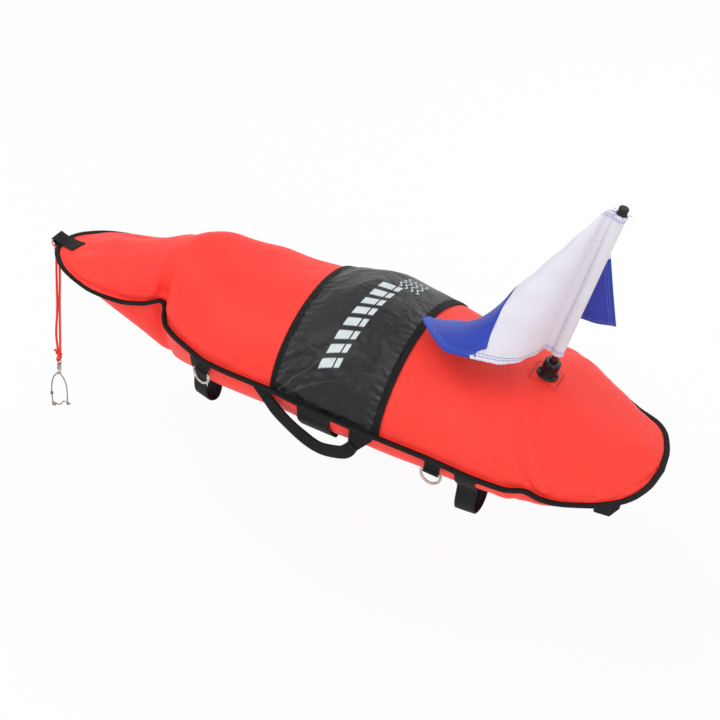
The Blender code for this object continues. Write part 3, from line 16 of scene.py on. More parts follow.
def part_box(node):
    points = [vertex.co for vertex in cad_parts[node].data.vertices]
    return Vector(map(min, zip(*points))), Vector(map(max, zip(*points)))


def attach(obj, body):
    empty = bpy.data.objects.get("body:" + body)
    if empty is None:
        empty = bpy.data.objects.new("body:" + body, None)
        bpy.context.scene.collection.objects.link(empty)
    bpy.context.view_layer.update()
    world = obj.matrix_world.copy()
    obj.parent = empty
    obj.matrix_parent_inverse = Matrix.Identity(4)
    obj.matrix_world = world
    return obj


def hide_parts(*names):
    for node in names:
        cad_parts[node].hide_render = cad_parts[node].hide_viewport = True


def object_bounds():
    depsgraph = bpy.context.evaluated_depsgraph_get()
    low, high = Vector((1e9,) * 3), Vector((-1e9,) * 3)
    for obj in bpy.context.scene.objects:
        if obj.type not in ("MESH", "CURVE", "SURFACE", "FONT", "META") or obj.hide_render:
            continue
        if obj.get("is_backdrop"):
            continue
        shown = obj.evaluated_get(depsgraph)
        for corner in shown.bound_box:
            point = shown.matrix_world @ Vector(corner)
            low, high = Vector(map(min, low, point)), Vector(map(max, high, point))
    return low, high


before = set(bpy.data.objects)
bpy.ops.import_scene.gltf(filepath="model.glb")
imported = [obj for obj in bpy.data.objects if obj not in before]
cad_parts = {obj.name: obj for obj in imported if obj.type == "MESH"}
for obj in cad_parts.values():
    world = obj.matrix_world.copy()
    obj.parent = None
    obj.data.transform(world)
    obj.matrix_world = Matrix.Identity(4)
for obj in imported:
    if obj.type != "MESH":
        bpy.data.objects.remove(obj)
cad_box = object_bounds()

# Hull, the same shape as the solids but finely divided
LENGTH = 1.0
HALF_WIDTH = 0.166
CROWN_HEIGHT = 0.118
BELLY_DEPTH = 0.116
PANEL_CLOTH = 0.0009
FLANGE = 0.0105
FLANGE_GAP = 0.0006
SEAM_LIFT = 0.018
TAIL_SWING = 0.008
BINDING_DEPTH = 0.0105
BINDING_HALF = 0.0031
TAPE_REACH = 0.0078
TAPE_HALF = 0.0024
TAPE_HALF_INSIDE = 0.0016
OUTLINE_SHARES = (
    (0, 0), (0.002, 0.072), (0.006, 0.145), (0.012, 0.21), (0.022, 0.277), (0.04, 0.367),
    (0.06, 0.428), (0.08, 0.47), (0.11, 0.512), (0.145, 0.524), (0.2, 0.506),
    (0.216, 0.478), (0.226, 0.45), (0.23, 0.448), (0.2345, 0.468), (0.241, 0.545), (0.2465, 0.585),
    (0.252, 0.618), (0.272, 0.699), (0.31, 0.801), (0.35, 0.886), (0.4, 0.904), (0.45, 0.904),
    (0.5, 0.934), (0.56, 0.959), (0.63, 0.973), (0.7, 0.976), (0.78, 1), (0.82, 0.984), (0.85, 0.925),
    (0.87, 0.905), (0.9, 0.838), (0.93, 0.741), (0.95, 0.675), (0.965, 0.61), (0.98, 0.5), (0.99, 0.361),
    (0.996, 0.229), (1, 0),
)
LIFT_SHARES = (
    (0, 0), (0.16, 0), (0.2, 0.45), (0.216, 0.8), (0.227, 1), (0.234, 0.78), (0.241, 0.42),
    (0.2465, 0.17), (0.252, 0), (0.31, 0), (0.82, 0), (0.85, 0.3), (0.87, 0.09), (0.9, 0), (1, 0),
)
CROWN_SHARES = (
    (0, 0), (0.03, 0.051), (0.06, 0.161), (0.1, 0.288), (0.15, 0.42), (0.2, 0.6), (0.22, 0.718),
    (0.25, 0.86), (0.28, 0.847), (0.3, 0.833), (0.34, 0.787), (0.38, 0.778), (0.42, 0.792),
    (0.46, 0.851), (0.49, 0.943), (0.53, 1), (0.57, 0.988), (0.6, 0.97), (0.66, 0.906), (0.7, 0.851),
    (0.75, 0.801), (0.8, 0.738), (0.85, 0.62), (0.9, 0.43), (0.95, 0.23), (1, 0),
)
BELLY_SHARES = (
    (0, 0), (0.03, 0.052), (0.06, 0.172), (0.1, 0.371), (0.15, 0.612), (0.2, 0.9), (0.22, 1),
    (0.24, 0.98), (0.27, 0.92), (0.3, 0.862), (0.4, 0.827), (0.5, 0.801), (0.6, 0.758), (0.7, 0.724),
    (0.75, 0.68), (0.8, 0.603), (0.85, 0.5), (0.9, 0.362), (0.95, 0.19), (1, 0),
)
SWING_SHARES = (
    (0, 0), (0.82, 0), (0.85, 0.4), (0.87, 0.7), (0.9, 1), (0.93, 1), (0.95, 0.62), (0.965, 0.22),
    (0.98, 0), (1, 0),
)
# Share of the length, spread and rise of each change to the crown's far half
FAR_CROWN_CHANGES = ((0.13, 0.034, -0.0062), (0.205, 0.024, 0.0058), (0.24, 0.014, -0.0022),
                     (0.276, 0.022, 0.0036), (0.68, 0.062, -0.0135))
# Share of the length at the seam, lean up the skin, depth and reach of each tuck at the puckers
TUCKS = ((0.2275, -0.006, 0.0046, 0.62), (0.8535, -0.045, 0.0042, 1.0))
BAND_FRONT = -0.047
BAND_REAR = 0.1305
BAND_TAPE = 0.011
BAND_LAP = 0.001
BAND_WIDTH = BAND_REAR - BAND_FRONT - 2 * (BAND_TAPE - BAND_LAP)
# Distance from the near end, lean and reach of the painted highlight lines where the band creases
BAND_SHEEN_LINES = ((0.026, 0.7, 0.12), (0.047, 1.0, 0.13), (0.074, 0.8, 0.12), (0.012, 0.45, 0.1))
# Spacing and lag of the gathers along the front tape and along the rear one
BAND_GATHERS = ((0.0125, 0.3), (0.0117, 1.9))
# Distance from the near end, lean, height and width of the folds that drag towards it
BAND_FOLDS = ((0.03, 0.7, 0.0034, 0.009), (0.052, 1.0, 0.003, 0.008), (0.078, 0.8, 0.0026, 0.008),
              (0.018, 0.5, 0.0028, 0.007))
# Distance from the front and height of the folds that spread from the band's near rear corner
CORNER_FOLDS = ((0.1, 0.0022), (0.125, 0.0016), (0.146, 0.0013))
MAST_X = 0.3094
MAST_FOOT = Vector((MAST_X, 0, 0.0883))
MAST_LEAN = math.radians(9.3)
MAST_AXIS = Vector((math.sin(MAST_LEAN), 0, math.cos(MAST_LEAN)))
MAST_SIDE = Vector((math.cos(MAST_LEAN), 0, -math.sin(MAST_LEAN)))
PATCH_X = 0.309
PATCH_SIDE = 0.048
VALVE_FOOT = Vector((0.1, 0.025, -0.0889))
FITTING_HOLE = 0.0095
NOSE_X = -0.508
NOSE_BAR_Z = 0.006
CORD_RADIUS = 0.002
PHOTO_SIDE = 720
FLOOR_Z = -0.36
FORE, SIDE, UP = Vector((1, 0, 0)), Vector((0, 1, 0)), Vector((0, 0, 1))


def add_object(name, data):
    made = bpy.data.objects.new(name, data)
    bpy.context.scene.collection.objects.link(made)
    return made


def make_camera():
    """The photograph's viewpoint, fitted to the hull's seam and outline."""
    around, above, roll = (math.radians(a) for a in (21.80273953, 36.98941403, 7.40805661))
    distance, focal, across, down = 2.263954613, 1520.7544, -16.93749404, -11.66279379
    back = Vector((math.sin(around) * math.cos(above), -math.cos(around) * math.cos(above),
                   math.sin(above)))
    level = Vector((math.cos(around), math.sin(around), 0))
    upright = back.cross(level)
    right = level * math.cos(roll) + upright * math.sin(roll)
    top = upright * math.cos(roll) - level * math.sin(roll)
    data = bpy.data.cameras.new("photo_camera")
    data.sensor_width = 36
    data.lens = focal / PHOTO_SIDE * 36
    data.shift_x = -across / PHOTO_SIDE
    data.shift_y = down / PHOTO_SIDE
    data.clip_start = 0.01
    camera = add_object("photo_camera", data)
    camera.matrix_world = Matrix((
        (right.x, top.x, back.x, back.x * distance), (right.y, top.y, back.y, back.y * distance),
        (right.z, top.z, back.z, back.z * distance), (0, 0, 0, 1)))
    bpy.context.scene.camera = camera


make_camera()


# Finishes

class Amount:
    """A number on a socket, which Python's own signs work on."""

    def __init__(self, nodes, socket):
        self.nodes, self.socket = nodes, socket

    def __add__(self, other):
        return self.nodes.number("ADD", self, other)

    def __radd__(self, other):
        return self.nodes.number("ADD", other, self)

    def __sub__(self, other):
        return self.nodes.number("SUBTRACT", self, other)

    def __rsub__(self, other):
        return self.nodes.number("SUBTRACT", other, self)

    def __mul__(self, other):
        return self.nodes.number("MULTIPLY", self, other)

    def __rmul__(self, other):
        return self.nodes.number("MULTIPLY", other, self)

    def __truediv__(self, other):
        return self.nodes.number("DIVIDE", self, other)

    def __pow__(self, other):
        return self.nodes.number("POWER", self, other)


class Nodes:
    """A tree of nodes and the calls that fill it."""

    def __init__(self, tree):
        self.tree = tree

    def join(self, socket, value):
        if isinstance(value, Amount):
            value = value.socket
        if isinstance(value, bpy.types.NodeSocket):
            self.tree.links.new(value, socket)
        else:
            socket.default_value = value

    def node(self, kind, settings=None, inputs=None):
        """Any node: its settings first, then the values or links of its sockets."""
        made = self.tree.nodes.new(kind)
        for key, value in (settings or {}).items():
            setattr(made, key, value)
        for key, value in (inputs or {}).items():
            self.join(made.inputs[key], value)
        return made

    def number(self, operation, *values):
        made = self.node("ShaderNodeMath", {"operation": operation}, dict(enumerate(values)))
        return Amount(self, made.outputs[0])

    def most(self, values):
        """The greatest of several amounts."""
        made, *others = values
        for value in others:
            made = self.number("MAXIMUM", made, value)
        return made

    def looked_at(self):
        """1 where the camera, gloss or glass looks, 0 where light only falls."""
        rays = self.node("ShaderNodeLightPath").outputs
        return self.most([rays[f"Is {kind} Ray"] for kind in ("Camera", "Glossy", "Transmission")])


class Finish(Nodes):
    """A material and the nodes that make its pattern."""

    def __init__(self, name, colour, roughness, metallic=0.0, **fixed):
        self.material = bpy.data.materials.new(name)
        self.material.use_nodes = True
        super().__init__(self.material.node_tree)
        self.shader = self.tree.nodes["Principled BSDF"]
        self.set("Base Color", (*colour, 1))
        self.set("Roughness", roughness)
        self.set("Metallic", metallic)
        for socket, value in fixed.items():
            self.set(socket.replace("_", " ").title().replace("Ior", "IOR"), value)
        self.places = None
        self.cloth = None

    def set(self, socket, value):
        """Puts a value or a link on one of the shader's own sockets."""
        self.join(self.shader.inputs[socket], value)

    def object_place(self):
        if self.places is None:
            self.places = self.node("ShaderNodeTexCoord").outputs["Object"]
        return self.places

    def on_cloth(self):
        """How far along and how far across the piece's own pattern, in metres."""
        if self.cloth is None:
            place = self.node("ShaderNodeUVMap", {"uv_map": "pattern"}).outputs["UV"]
            parts = self.node("ShaderNodeSeparateXYZ", inputs={0: place})
            self.cloth = Amount(self, parts.outputs[0]), Amount(self, parts.outputs[1])
        return self.cloth

    def noise(self, scale, detail=2.0, rough=0.5, vector=None):
        made = self.node("ShaderNodeTexNoise", inputs={
            "Vector": vector or self.object_place(), "Scale": scale, "Detail": detail,
            "Roughness": rough})
        return Amount(self, made.outputs[0])

    def stretched(self, scale):
        return self.node("ShaderNodeMapping", inputs={
            "Vector": self.object_place(), "Scale": scale}).outputs[0]

    def wave(self, length_along, spacing, lag=0.0):
        """A wave from 0 to 1 with the given spacing in metres."""
        turned = self.number("SINE", length_along * (2 * math.pi / spacing) + lag)
        return turned * 0.5 + 0.5

    def between(self, value, low, high):
        """0 at low, 1 at high and smooth between them."""
        made = self.node("ShaderNodeMapRange", {"interpolation_type": "SMOOTHSTEP"}, {
            "Value": value, "From Min": low, "From Max": high})
        return Amount(self, made.outputs[0])

    def line(self, value, middle, half, soft):
        """1 within half a width of the middle, 0 outside it."""
        apart = self.number("ABSOLUTE", value - middle)
        return 1 - self.between(apart, half - soft, half + soft)

    def dashes(self, along, spacing, share):
        place = self.number("FRACT", along / spacing)
        return self.line(place, 0.5, share / 2, 0.06)

    def stitches(self, across, along, rows, half, spacing, share):
        """Rows of stitches: dashes along the cloth at chosen distances across it."""
        lines = self.most([self.line(across, row, half, 0.0002) for row in rows])
        return lines * self.dashes(along, spacing, share)

    def tint(self, share, *colours):
        """The first colour turning into the second by a share."""
        first, second = (colour if isinstance(colour, bpy.types.NodeSocket) else (*colour, 1)
                         for colour in colours)
        return self.node("ShaderNodeMix", {"data_type": "RGBA"}, {0: share, 6: first, 7: second}).outputs[2]

    def bumps(self, *layers):
        """Heights from 0 to 1, each with its own depth in metres, one on another."""
        below = None
        for height, depth in layers:
            made = self.node("ShaderNodeBump", inputs={
                "Strength": 1.0, "Distance": depth, "Height": height})
            if below is not None:
                self.join(made.inputs["Normal"], below)
            below = made.outputs[0]
        self.set("Normal", below)

    def finished(self, colour, roughness, *layers):
        """Sets what varies over the surface and hands back the material."""
        self.set("Base Color", colour)
        self.set("Roughness", roughness)
        self.bumps(*layers)
        return self.material


def coated_fabric(name, weld=0.0):
    """Red-orange coated fabric, satin, with a faint weave and slow waves from its air pressure."""
    finish = Finish(name, (0.97, 0.055, 0.038), 0.5, specular_ior_level=0.22)
    slow, fine = finish.noise(5.5, 2), finish.noise(55, 4, 0.6)
    colour = finish.tint(slow, (0.97, 0.038, 0.027), (0.98, 0.06, 0.042))
    colour = finish.tint(finish.between(fine, 0.35, 0.75) * 0.35, colour, (0.94, 0.04, 0.028))
    along, across = finish.on_cloth()
    weave = finish.wave(along, 0.0011) * finish.wave(across, 0.0011)
    layers = [(slow, 0.006), (finish.noise(16, 3, 0.45), 0.0016), (weave, 0.00006)]
    if weld:
        edge = finish.most([finish.number("ABSOLUTE", direction) for direction in (along, across)])
        groove = finish.line(edge, weld, 0.0007, 0.0004)
        colour = finish.tint(groove * 0.6, colour, (0.2, 0.012, 0.01))
        layers.append((1 - groove, 0.0007))
    return finish.finished(colour, 0.44 + fine * 0.16, *layers)


def webbing(name, width, rows, pick, shade=1.0):
    """Black polypropylene webbing: ribs across it, a herringbone along it and rows of stitches."""
    finish = Finish(name, (0.008, 0.008, 0.0085), 0.7, specular_ior_level=0.2)
    along, across = finish.on_cloth()
    lean = finish.number("PINGPONG", across, width / 4)
    ribs = finish.wave(along + lean * 0.8, pick)
    cords = finish.wave(across, pick * 0.8)
    wear = finish.noise(40, 4, 0.6)
    colour = finish.tint(wear, (0.0045 * shade, 0.0042 * shade, 0.0042 * shade),
                         (0.0145 * shade, 0.0135 * shade, 0.0135 * shade))
    colour = finish.tint(ribs * 0.5, colour, (0.0025, 0.0023, 0.0023))
    sewn = finish.stitches(across, along, rows, 0.00045, 0.0034, 0.68)
    return finish.finished(finish.tint(sewn, colour, (0.03, 0.03, 0.031)), 0.58 + ribs * 0.2,
                           (ribs, 0.00028), (cords, 0.00012), (wear, 0.0004), (sewn, 0.0004))


def band_nylon(girth):
    """Black coated nylon with painted highlights on its creases, gathers and crinkles, and slanted bars and
    ripples printed on it.
    """
    finish = Finish("band_nylon", (0.012, 0.012, 0.014), 0.36, specular_ior_level=0.3)
    along, across = finish.on_cloth()
    slow = finish.noise(14, 3)
    base = finish.tint(slow, (0.006, 0.006, 0.007), (0.013, 0.0125, 0.015))
    grid = finish.most([finish.dashes(direction, 0.005, 0.1) for direction in (along, across)])
    drift = along + (across - 0.27) * 0.1
    slant = across + (drift - 0.08) * 0.32
    within = finish.line(slant, 0.2702, 0.09, 0.0004) * finish.line(drift, 0.08, 0.0138, 0.0004)
    bars = finish.dashes(slant, 0.0225, 0.62) * within * (1 - finish.line(drift, 0.0855, 0.0011, 0.0003))
    swell = finish.wave(across, 0.017) * 0.005
    ripples = finish.most([finish.line(along - swell, level, 0.0011, 0.0004)
                           for level in (0.092, 0.101, 0.11, 0.119)])
    printed = finish.most([bars, ripples * finish.line(across, 0.152, 0.026, 0.0005)])
    fold = finish.number("ABSOLUTE", finish.noise(26, 2) - 0.5) * 2
    crinkle = finish.noise(85, 3)
    wander = (slow - 0.5) * 0.03 + (crinkle - 0.5) * 0.012
    nearness = girth - across
    # Painted sheen: a paler colour on crinkles, crease lines and gathers stands in for their highlights
    painted_sheen = [finish.between(1 - fold, 0.86, 1) * finish.between(crinkle, 0.45, 0.7) * 0.12]
    for middle, lean, reach in BAND_SHEEN_LINES:
        crest_highlight = finish.line(nearness + wander - along * lean, middle, 0.0012, 0.0026)
        painted_sheen.append(crest_highlight * finish.between(nearness, reach, 0.01) * finish.between(along, 0.13, 0.03))
    for from_tape, (spacing, lag) in zip((along, BAND_WIDTH - along), BAND_GATHERS):
        gather = finish.wave(across + wander, spacing, lag) ** 5.0
        gather = gather * finish.between(from_tape + wander, 0.021, 0.004)
        painted_sheen.append(gather * finish.between(nearness, 0.33, 0.2) * 0.5)
    # The painted highlights tint the base colour towards a pale grey
    base = finish.tint(finish.most(painted_sheen) * 0.75, base, (0.085, 0.088, 0.098))
    worn = finish.between(finish.noise(220, 3), 0.3, 0.42)
    printed = printed * (0.82 + worn * 0.18)
    return finish.finished(
        finish.tint(printed, base, (0.62, 0.67, 0.68)), 0.3 + slow * 0.14 + printed * 0.1,
        (slow, 0.009), (fold, 0.0042), (crinkle, 0.001), (grid, 0.00008), (printed, 0.00006))


def flag_cloth(name, light, dark, thread, along_rows=(), across_rows=()):
    """Thin woven polyester with sewn hems; the rows are the stitches along and across it."""
    finish = Finish(name, light, 0.62, sheen_weight=0.2, sheen_roughness=0.4,
                    specular_ior_level=0.35)
    along, across = finish.on_cloth()
    slow = finish.noise(18, 3)
    weave = finish.wave(along, 0.0009) * finish.wave(across, 0.0009)
    sewn = finish.most([
        finish.stitches(direction, other, rows, 0.0005, 0.0036, 0.7)
        for direction, other, rows in ((along, across, along_rows), (across, along, across_rows)) if rows])
    return finish.finished(
        finish.tint(sewn, finish.tint(slow, light, dark), thread), 0.55 + slow * 0.15,
        (slow, 0.0022), (finish.noise(90, 3), 0.0003), (weave, 0.00005), (1 - sewn, 0.0004))


def moulded(name, colour, roughness, grain=0.00012):
    """Moulded plastic or rubber with a fine mould texture and rubbed high spots."""
    finish = Finish(name, colour, roughness, specular_ior_level=0.36)
    fine, slow = finish.noise(900, 3), finish.noise(60, 3)
    worn = tuple(c * 2.2 + 0.004 for c in colour)
    return finish.finished(finish.tint(finish.between(slow, 0.45, 0.8), colour, worn),
                           roughness + (slow - 0.5) * 0.2, (fine, grain), (slow, grain * 2))


def plated(name, light, dark, roughness):
    """Bright metal with faint scratches and patches of painted dark reflection."""
    finish = Finish(name, light, roughness, 1.0)
    scratch = finish.noise(180, 4, 0.7, finish.stretched((1, 1, 9)))
    slow = finish.noise(70, 3)
    # Random patches tinted towards the dark colour are painted reflections
    return finish.finished(finish.tint(finish.between(slow, 0.4, 0.75), light, dark),
                           roughness + scratch * 0.14, (scratch, 0.00004))


def glass_fibre():
    """Dark glass-fibre rod under a clear gel, with its fibres along it."""
    finish = Finish("glass_fibre", (0.02, 0.012, 0.013), 0.22, coat_weight=0.6, coat_roughness=0.08)
    fibres = finish.noise(260, 4, 0.6, finish.stretched((1, 1, 0.04)))
    return finish.finished(finish.tint(fibres, (0.012, 0.008, 0.009), (0.05, 0.022, 0.022)),
                           0.2 + fibres * 0.12, (fibres, 0.00005))


def braided():
    """Red braided cord: two sets of strands that cross on its round, with painted shade where they sink
    between the crossings.
    """
    finish = Finish("red_braid", (0.95, 0.035, 0.02), 0.6, specular_ior_level=0.2)
    along, across = finish.on_cloth()
    over = finish.most([finish.wave(along + across * turns, 0.0019) ** 2.0 for turns in (0.55, -0.55)])
    # Painted shade: the colour darkens where the strands sink between the crossings
    colour = finish.tint(over, (0.55, 0.01, 0.007), (1, 0.05, 0.025))
    return finish.finished(finish.tint(finish.noise(300, 2) * 0.35, colour, (1, 0.1, 0.06)),
                           0.62 - over * 0.12, (over, 0.0003))


RED_HULL = coated_fabric("red_coated_fabric")
RED_PATCH = coated_fabric("red_patch_fabric", weld=0.0195)
BINDING = webbing("binding_tape", 0.012, rows=(0.0085,), pick=0.0013)
TAPE = webbing("band_tape", 0.011, rows=(0.0085,), pick=0.0013)
STRAP = webbing("strap_webbing", 0.025, rows=(0.0016, 0.0234), pick=0.0019)
GRIP = webbing("grip_webbing", 0.021, rows=(0.0015, 0.0195), pick=0.0017)
RIBBED = webbing("ribbed_webbing", 0.05, rows=(0.0016, 0.0484), pick=0.0032, shade=1.3)
WHITE = flag_cloth("white_flag_cloth", (0.76, 0.73, 0.79), (0.7, 0.675, 0.74), (0.1, 0.2, 0.6),
                   across_rows=(0.0055, 0.0085, 0.237, 0.2405))
# The sleeve is a darker copy of the flag's white cloth: painted shade on the sleeve
SHADED_SLEEVE = flag_cloth("shaded_white_sleeve_cloth", (0.72, 0.7, 0.74), (0.66, 0.64, 0.69), (0.1, 0.2, 0.6),
                    along_rows=(0.0065, 0.009, 0.237, 0.2395))
BLUE = flag_cloth("blue_flag_cloth", (0.022, 0.055, 0.42), (0.014, 0.036, 0.33), (0.05, 0.14, 0.66),
                  along_rows=(0.0045, 0.0075), across_rows=(0.0045, 0.0075, 0.238, 0.241))
PLASTIC = moulded("black_moulding", (0.007, 0.0065, 0.007), 0.28)
RUBBER = moulded("black_rubber", (0.008, 0.008, 0.008), 0.6, 0.0002)
ROD = glass_fibre()
# Each metal's second colour is the painted dark reflection in its patches
SWIVEL = plated("swivel_nickel", (0.42, 0.37, 0.32), (0.1, 0.085, 0.075), 0.2)
NICKEL = plated("nickel_plate", (0.56, 0.52, 0.47), (0.34, 0.31, 0.28), 0.22)
STAINLESS = plated("stainless_wire", (0.33, 0.27, 0.24), (0.17, 0.13, 0.115), 0.3)
CORD = braided()
THREAD = Finish("blue_thread", (0.03, 0.08, 0.5), 0.6).material


# Ways to make a piece

def unit(vectors):
    return vectors / np.maximum(np.linalg.norm(vectors, axis=-1, keepdims=True), 1e-12)


def stack(*parts):
    return np.stack(np.broadcast_arrays(*parts), -1)


def bell(value, middle, width):
    return np.exp(-((value - middle) / width)**2)


def step_up(value, low, high):
    t = np.clip((np.asarray(value, float) - low) / (high - low), 0, 1)
    return t * t * (3 - 2 * t)


def wave(value, spacing=1.0, lag=0.0):
    return np.sin(2 * math.pi * value / spacing + lag)


def lengths_along(places, axis=0):
    """How far each place lies from the first, measured along one axis of the array."""
    steps = np.linalg.norm(np.diff(places, axis=axis), axis=-1)
    return np.insert(np.cumsum(steps, axis=axis), 0, 0, axis=axis)


def path_length(points):
    return sum((b - a).length for a, b in zip(points, points[1:]))


def curve_through(points):
    """A monotone cubic through chosen points, for arrays of places."""
    at, values = np.array(points, float).T
    steps = np.diff(values) / np.diff(at)
    slopes = np.zeros(len(at))
    slopes[0], slopes[-1] = steps[0], steps[-1]
    same = steps[:-1] * steps[1:] > 0
    slopes[1:-1][same] = (2 * steps[:-1] * steps[1:])[same] / (steps[:-1] + steps[1:])[same]

    def value(place):
        place = np.asarray(place, float)
        index = np.clip(np.searchsorted(at, place, side="left") - 1, 0, len(at) - 2)
        span = at[index + 1] - at[index]
        t = (place - at[index]) / span
        return (values[index] * (2 * t**3 - 3 * t**2 + 1) + values[index + 1] * (3 * t**2 - 2 * t**3)
                + slopes[index] * span * (t**3 - 2 * t**2 + t)
                + slopes[index + 1] * span * (t**3 - t**2))

    return value


def smooth_route(places, count):
    """Evenly shared points on a Catmull-Rom curve through the given places."""
    places = [Vector(place) for place in places]
    ends = [2 * places[0] - places[1], *places, 2 * places[-1] - places[-2]]
    route = []
    for index in range(count):
        along = index / (count - 1) * (len(places) - 1)
        piece = min(int(along), len(places) - 2)
        t = along - piece
        a, b, c, d = ends[piece:piece + 4]
        route.append((2 * b + (c - a) * t + (2 * a - 5 * b + 4 * c - d) * t**2
                      + (3 * b - a - 3 * c + d) * t**3) / 2)
    return route


def bend_grid(shape, places, lengths=None, weld=True):
    """Adds a grid and bends it to an array of places, with its lengths as the pattern."""
    places = np.asarray(places, float)
    if lengths is None:
        lengths = stack(lengths_along(places).mean(1)[:, None], lengths_along(places, 1))
    rows, columns = places.shape[:2]
    made = bmesh.ops.create_grid(shape, x_segments=columns - 1, y_segments=rows - 1, size=1)["verts"]
    layer = shape.loops.layers.uv.verify()
    spots = {vertex: (round((vertex.co.y + 1) / 2 * (rows - 1)),
                      round((vertex.co.x + 1) / 2 * (columns - 1))) for vertex in made}
    for vertex, spot in spots.items():
        for corner in vertex.link_loops:
            corner[layer].uv = lengths[spot]
        vertex.co = places[spot]
    if weld:
        bmesh.ops.remove_doubles(shape, verts=made, dist=0.000002)


def close_ends(shape):
    open_edges = [edge for edge in shape.edges if edge.is_boundary]
    if open_edges:
        bmesh.ops.holes_fill(shape, edges=open_edges, sides=0)


def add_tube(shape, points, radius, sides=12, closed=False):
    """Adds a round tube along a path, with its pattern running along and round it."""
    points = np.array([tuple(point) for point in points], float)
    if closed:
        points = np.vstack([points, points[:1]])
        ahead = np.vstack([points[1:], points[1:2]]) - np.vstack([points[-2:-1], points[:-1]])
    else:
        ahead = np.gradient(points, axis=0)
    ahead = unit(ahead)
    firsts = [Vector(ahead[0]).orthogonal().normalized()]
    for before, after in zip(ahead, ahead[1:]):
        turn = Vector(before).rotation_difference(Vector(after))
        firsts.append(turn @ firsts[-1])
    firsts = np.array(firsts)
    seconds = np.cross(ahead, firsts)
    if closed:
        drift = math.atan2(firsts[-1] @ np.cross(ahead[0], firsts[0]), firsts[-1] @ firsts[0])
        turns = -drift * np.linspace(0, 1, len(points))[:, None]
        firsts, seconds = (firsts * np.cos(turns) + seconds * np.sin(turns),
                           seconds * np.cos(turns) - firsts * np.sin(turns))
    angles = np.linspace(0, 2 * math.pi, sides + 1)
    radii = np.broadcast_to(np.asarray(radius, float), len(points))
    places = (points[:, None] + radii[:, None, None]
              * (firsts[:, None] * np.cos(angles)[None, :, None]
                 + seconds[:, None] * np.sin(angles)[None, :, None]))
    tube = bmesh.new()
    bend_grid(tube, places, stack(lengths_along(points)[:, None], angles * radii.mean()))
    close_ends(tube)
    bmesh.ops.recalc_face_normals(tube, faces=tube.faces)
    join_shapes(shape, tube)


def join_shapes(shape, other):
    held = bpy.data.meshes.new("held")
    other.to_mesh(held)
    other.free()
    shape.from_mesh(held)
    bpy.data.meshes.remove(held)


def eased(profile, radius, steps=3):
    """The same profile with its inner corners rounded."""
    points = [Vector(point) for point in profile]
    line = [points[0]]
    for before, corner, after in zip(points, points[1:], points[2:]):
        start = corner + (before - corner).normalized() * min(radius, (before - corner).length * 0.45)
        end = corner + (after - corner).normalized() * min(radius, (after - corner).length * 0.45)
        for step in range(steps + 1):
            t = step / steps
            line.append(start * (1 - t)**2 + corner * 2 * t * (1 - t) + end * t**2)
    line.append(points[-1])
    return line


def add_spun(shape, profile, place, steps=64, closed=False):
    """Adds a profile of radius and height pairs turned about local Z of a place."""
    spun = bmesh.new()
    points = [spun.verts.new((point[0], 0, point[1])) for point in profile]
    edges = [spun.edges.new(pair) for pair in zip(points, points[1:])]
    if closed:
        edges.append(spun.edges.new((points[-1], points[0])))
    bmesh.ops.spin(spun, geom=points + edges, cent=(0, 0, 0), axis=(0, 0, 1), dvec=(0, 0, 0),
                   angle=2 * math.pi, steps=steps, use_merge=True)
    bmesh.ops.remove_doubles(spun, verts=spun.verts, dist=0.000002)
    bmesh.ops.recalc_face_normals(spun, faces=spun.faces)
    bmesh.ops.transform(spun, matrix=place, verts=spun.verts)
    join_shapes(shape, spun)


def circle(centre, first, second, radius, steps=40):
    angles = [2 * math.pi * step / steps for step in range(steps)]
    return [centre + (first * math.cos(a) + second * math.sin(a)) * radius for a in angles]


def evenly(count):
    return [index / (count - 1) for index in range(count)]


def soften(rows, start, end, times=1):
    """Evens out part of an array of rows with their neighbours."""
    for turn in range(times):
        rows[start:end] = (rows[start - 1:end - 1] + 2 * rows[start:end] + rows[start + 1:end + 1]) / 4


def fluted_piece(name, profile, place, body, node, steps, count, depth, slope, power=1, closed=False):
    """A turned plastic part with finger grooves sunk into its outer wall."""
    shape = bmesh.new()
    add_spun(shape, profile, Matrix.Identity(4), steps, closed)
    inside = 0.0098
    for vertex in shape.verts:
        radius = math.hypot(vertex.co.x, vertex.co.y)
        if radius > inside:
            groove = max(0, math.cos(math.atan2(vertex.co.y, vertex.co.x) * count)) ** power
            share = 1 - depth * groove * min(1, (radius - inside) / slope) / radius
            vertex.co.x *= share
            vertex.co.y *= share
    bmesh.ops.transform(shape, matrix=place, verts=shape.verts)
    make_piece(name, shape, PLASTIC, body, (node,), "black_plastic", sharp=32)


def make_piece(name, shape, material, body, replaced=(), slot=None, cloth=0.0, offset=0.0, sharp=38,
               rounds=0):
    """A finished piece on its body, standing for the solids it replaces."""
    mesh = bpy.data.meshes.new(name)
    shape.to_mesh(mesh)
    shape.free()
    layer = mesh.uv_layers.active
    if layer:
        layer.name = "pattern"
    mesh.shade_smooth()
    mesh.set_sharp_from_angle(angle=math.radians(sharp))
    mesh.materials.append(material)
    piece = add_object(name, mesh)
    if cloth:
        wall = piece.modifiers.new("cloth", "SOLIDIFY")
        wall.thickness = cloth
        wall.offset = offset
    if rounds:
        bevel = piece.modifiers.new("edge", "BEVEL")
        bevel.width = rounds
        bevel.segments = 2
        bevel.limit_method = "ANGLE"
    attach(piece, body)
    if replaced:
        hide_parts(*replaced)
    return piece


def cloth_piece(name, places, *rest, lengths=None, weld=False, **finish):
    """A piece bent to an array of places; a welded one closes on itself and faces outward."""
    shape = bmesh.new()
    bend_grid(shape, places, lengths, weld)
    if weld:
        bmesh.ops.recalc_face_normals(shape, faces=shape.faces)
    return make_piece(name, shape, *rest, **finish)


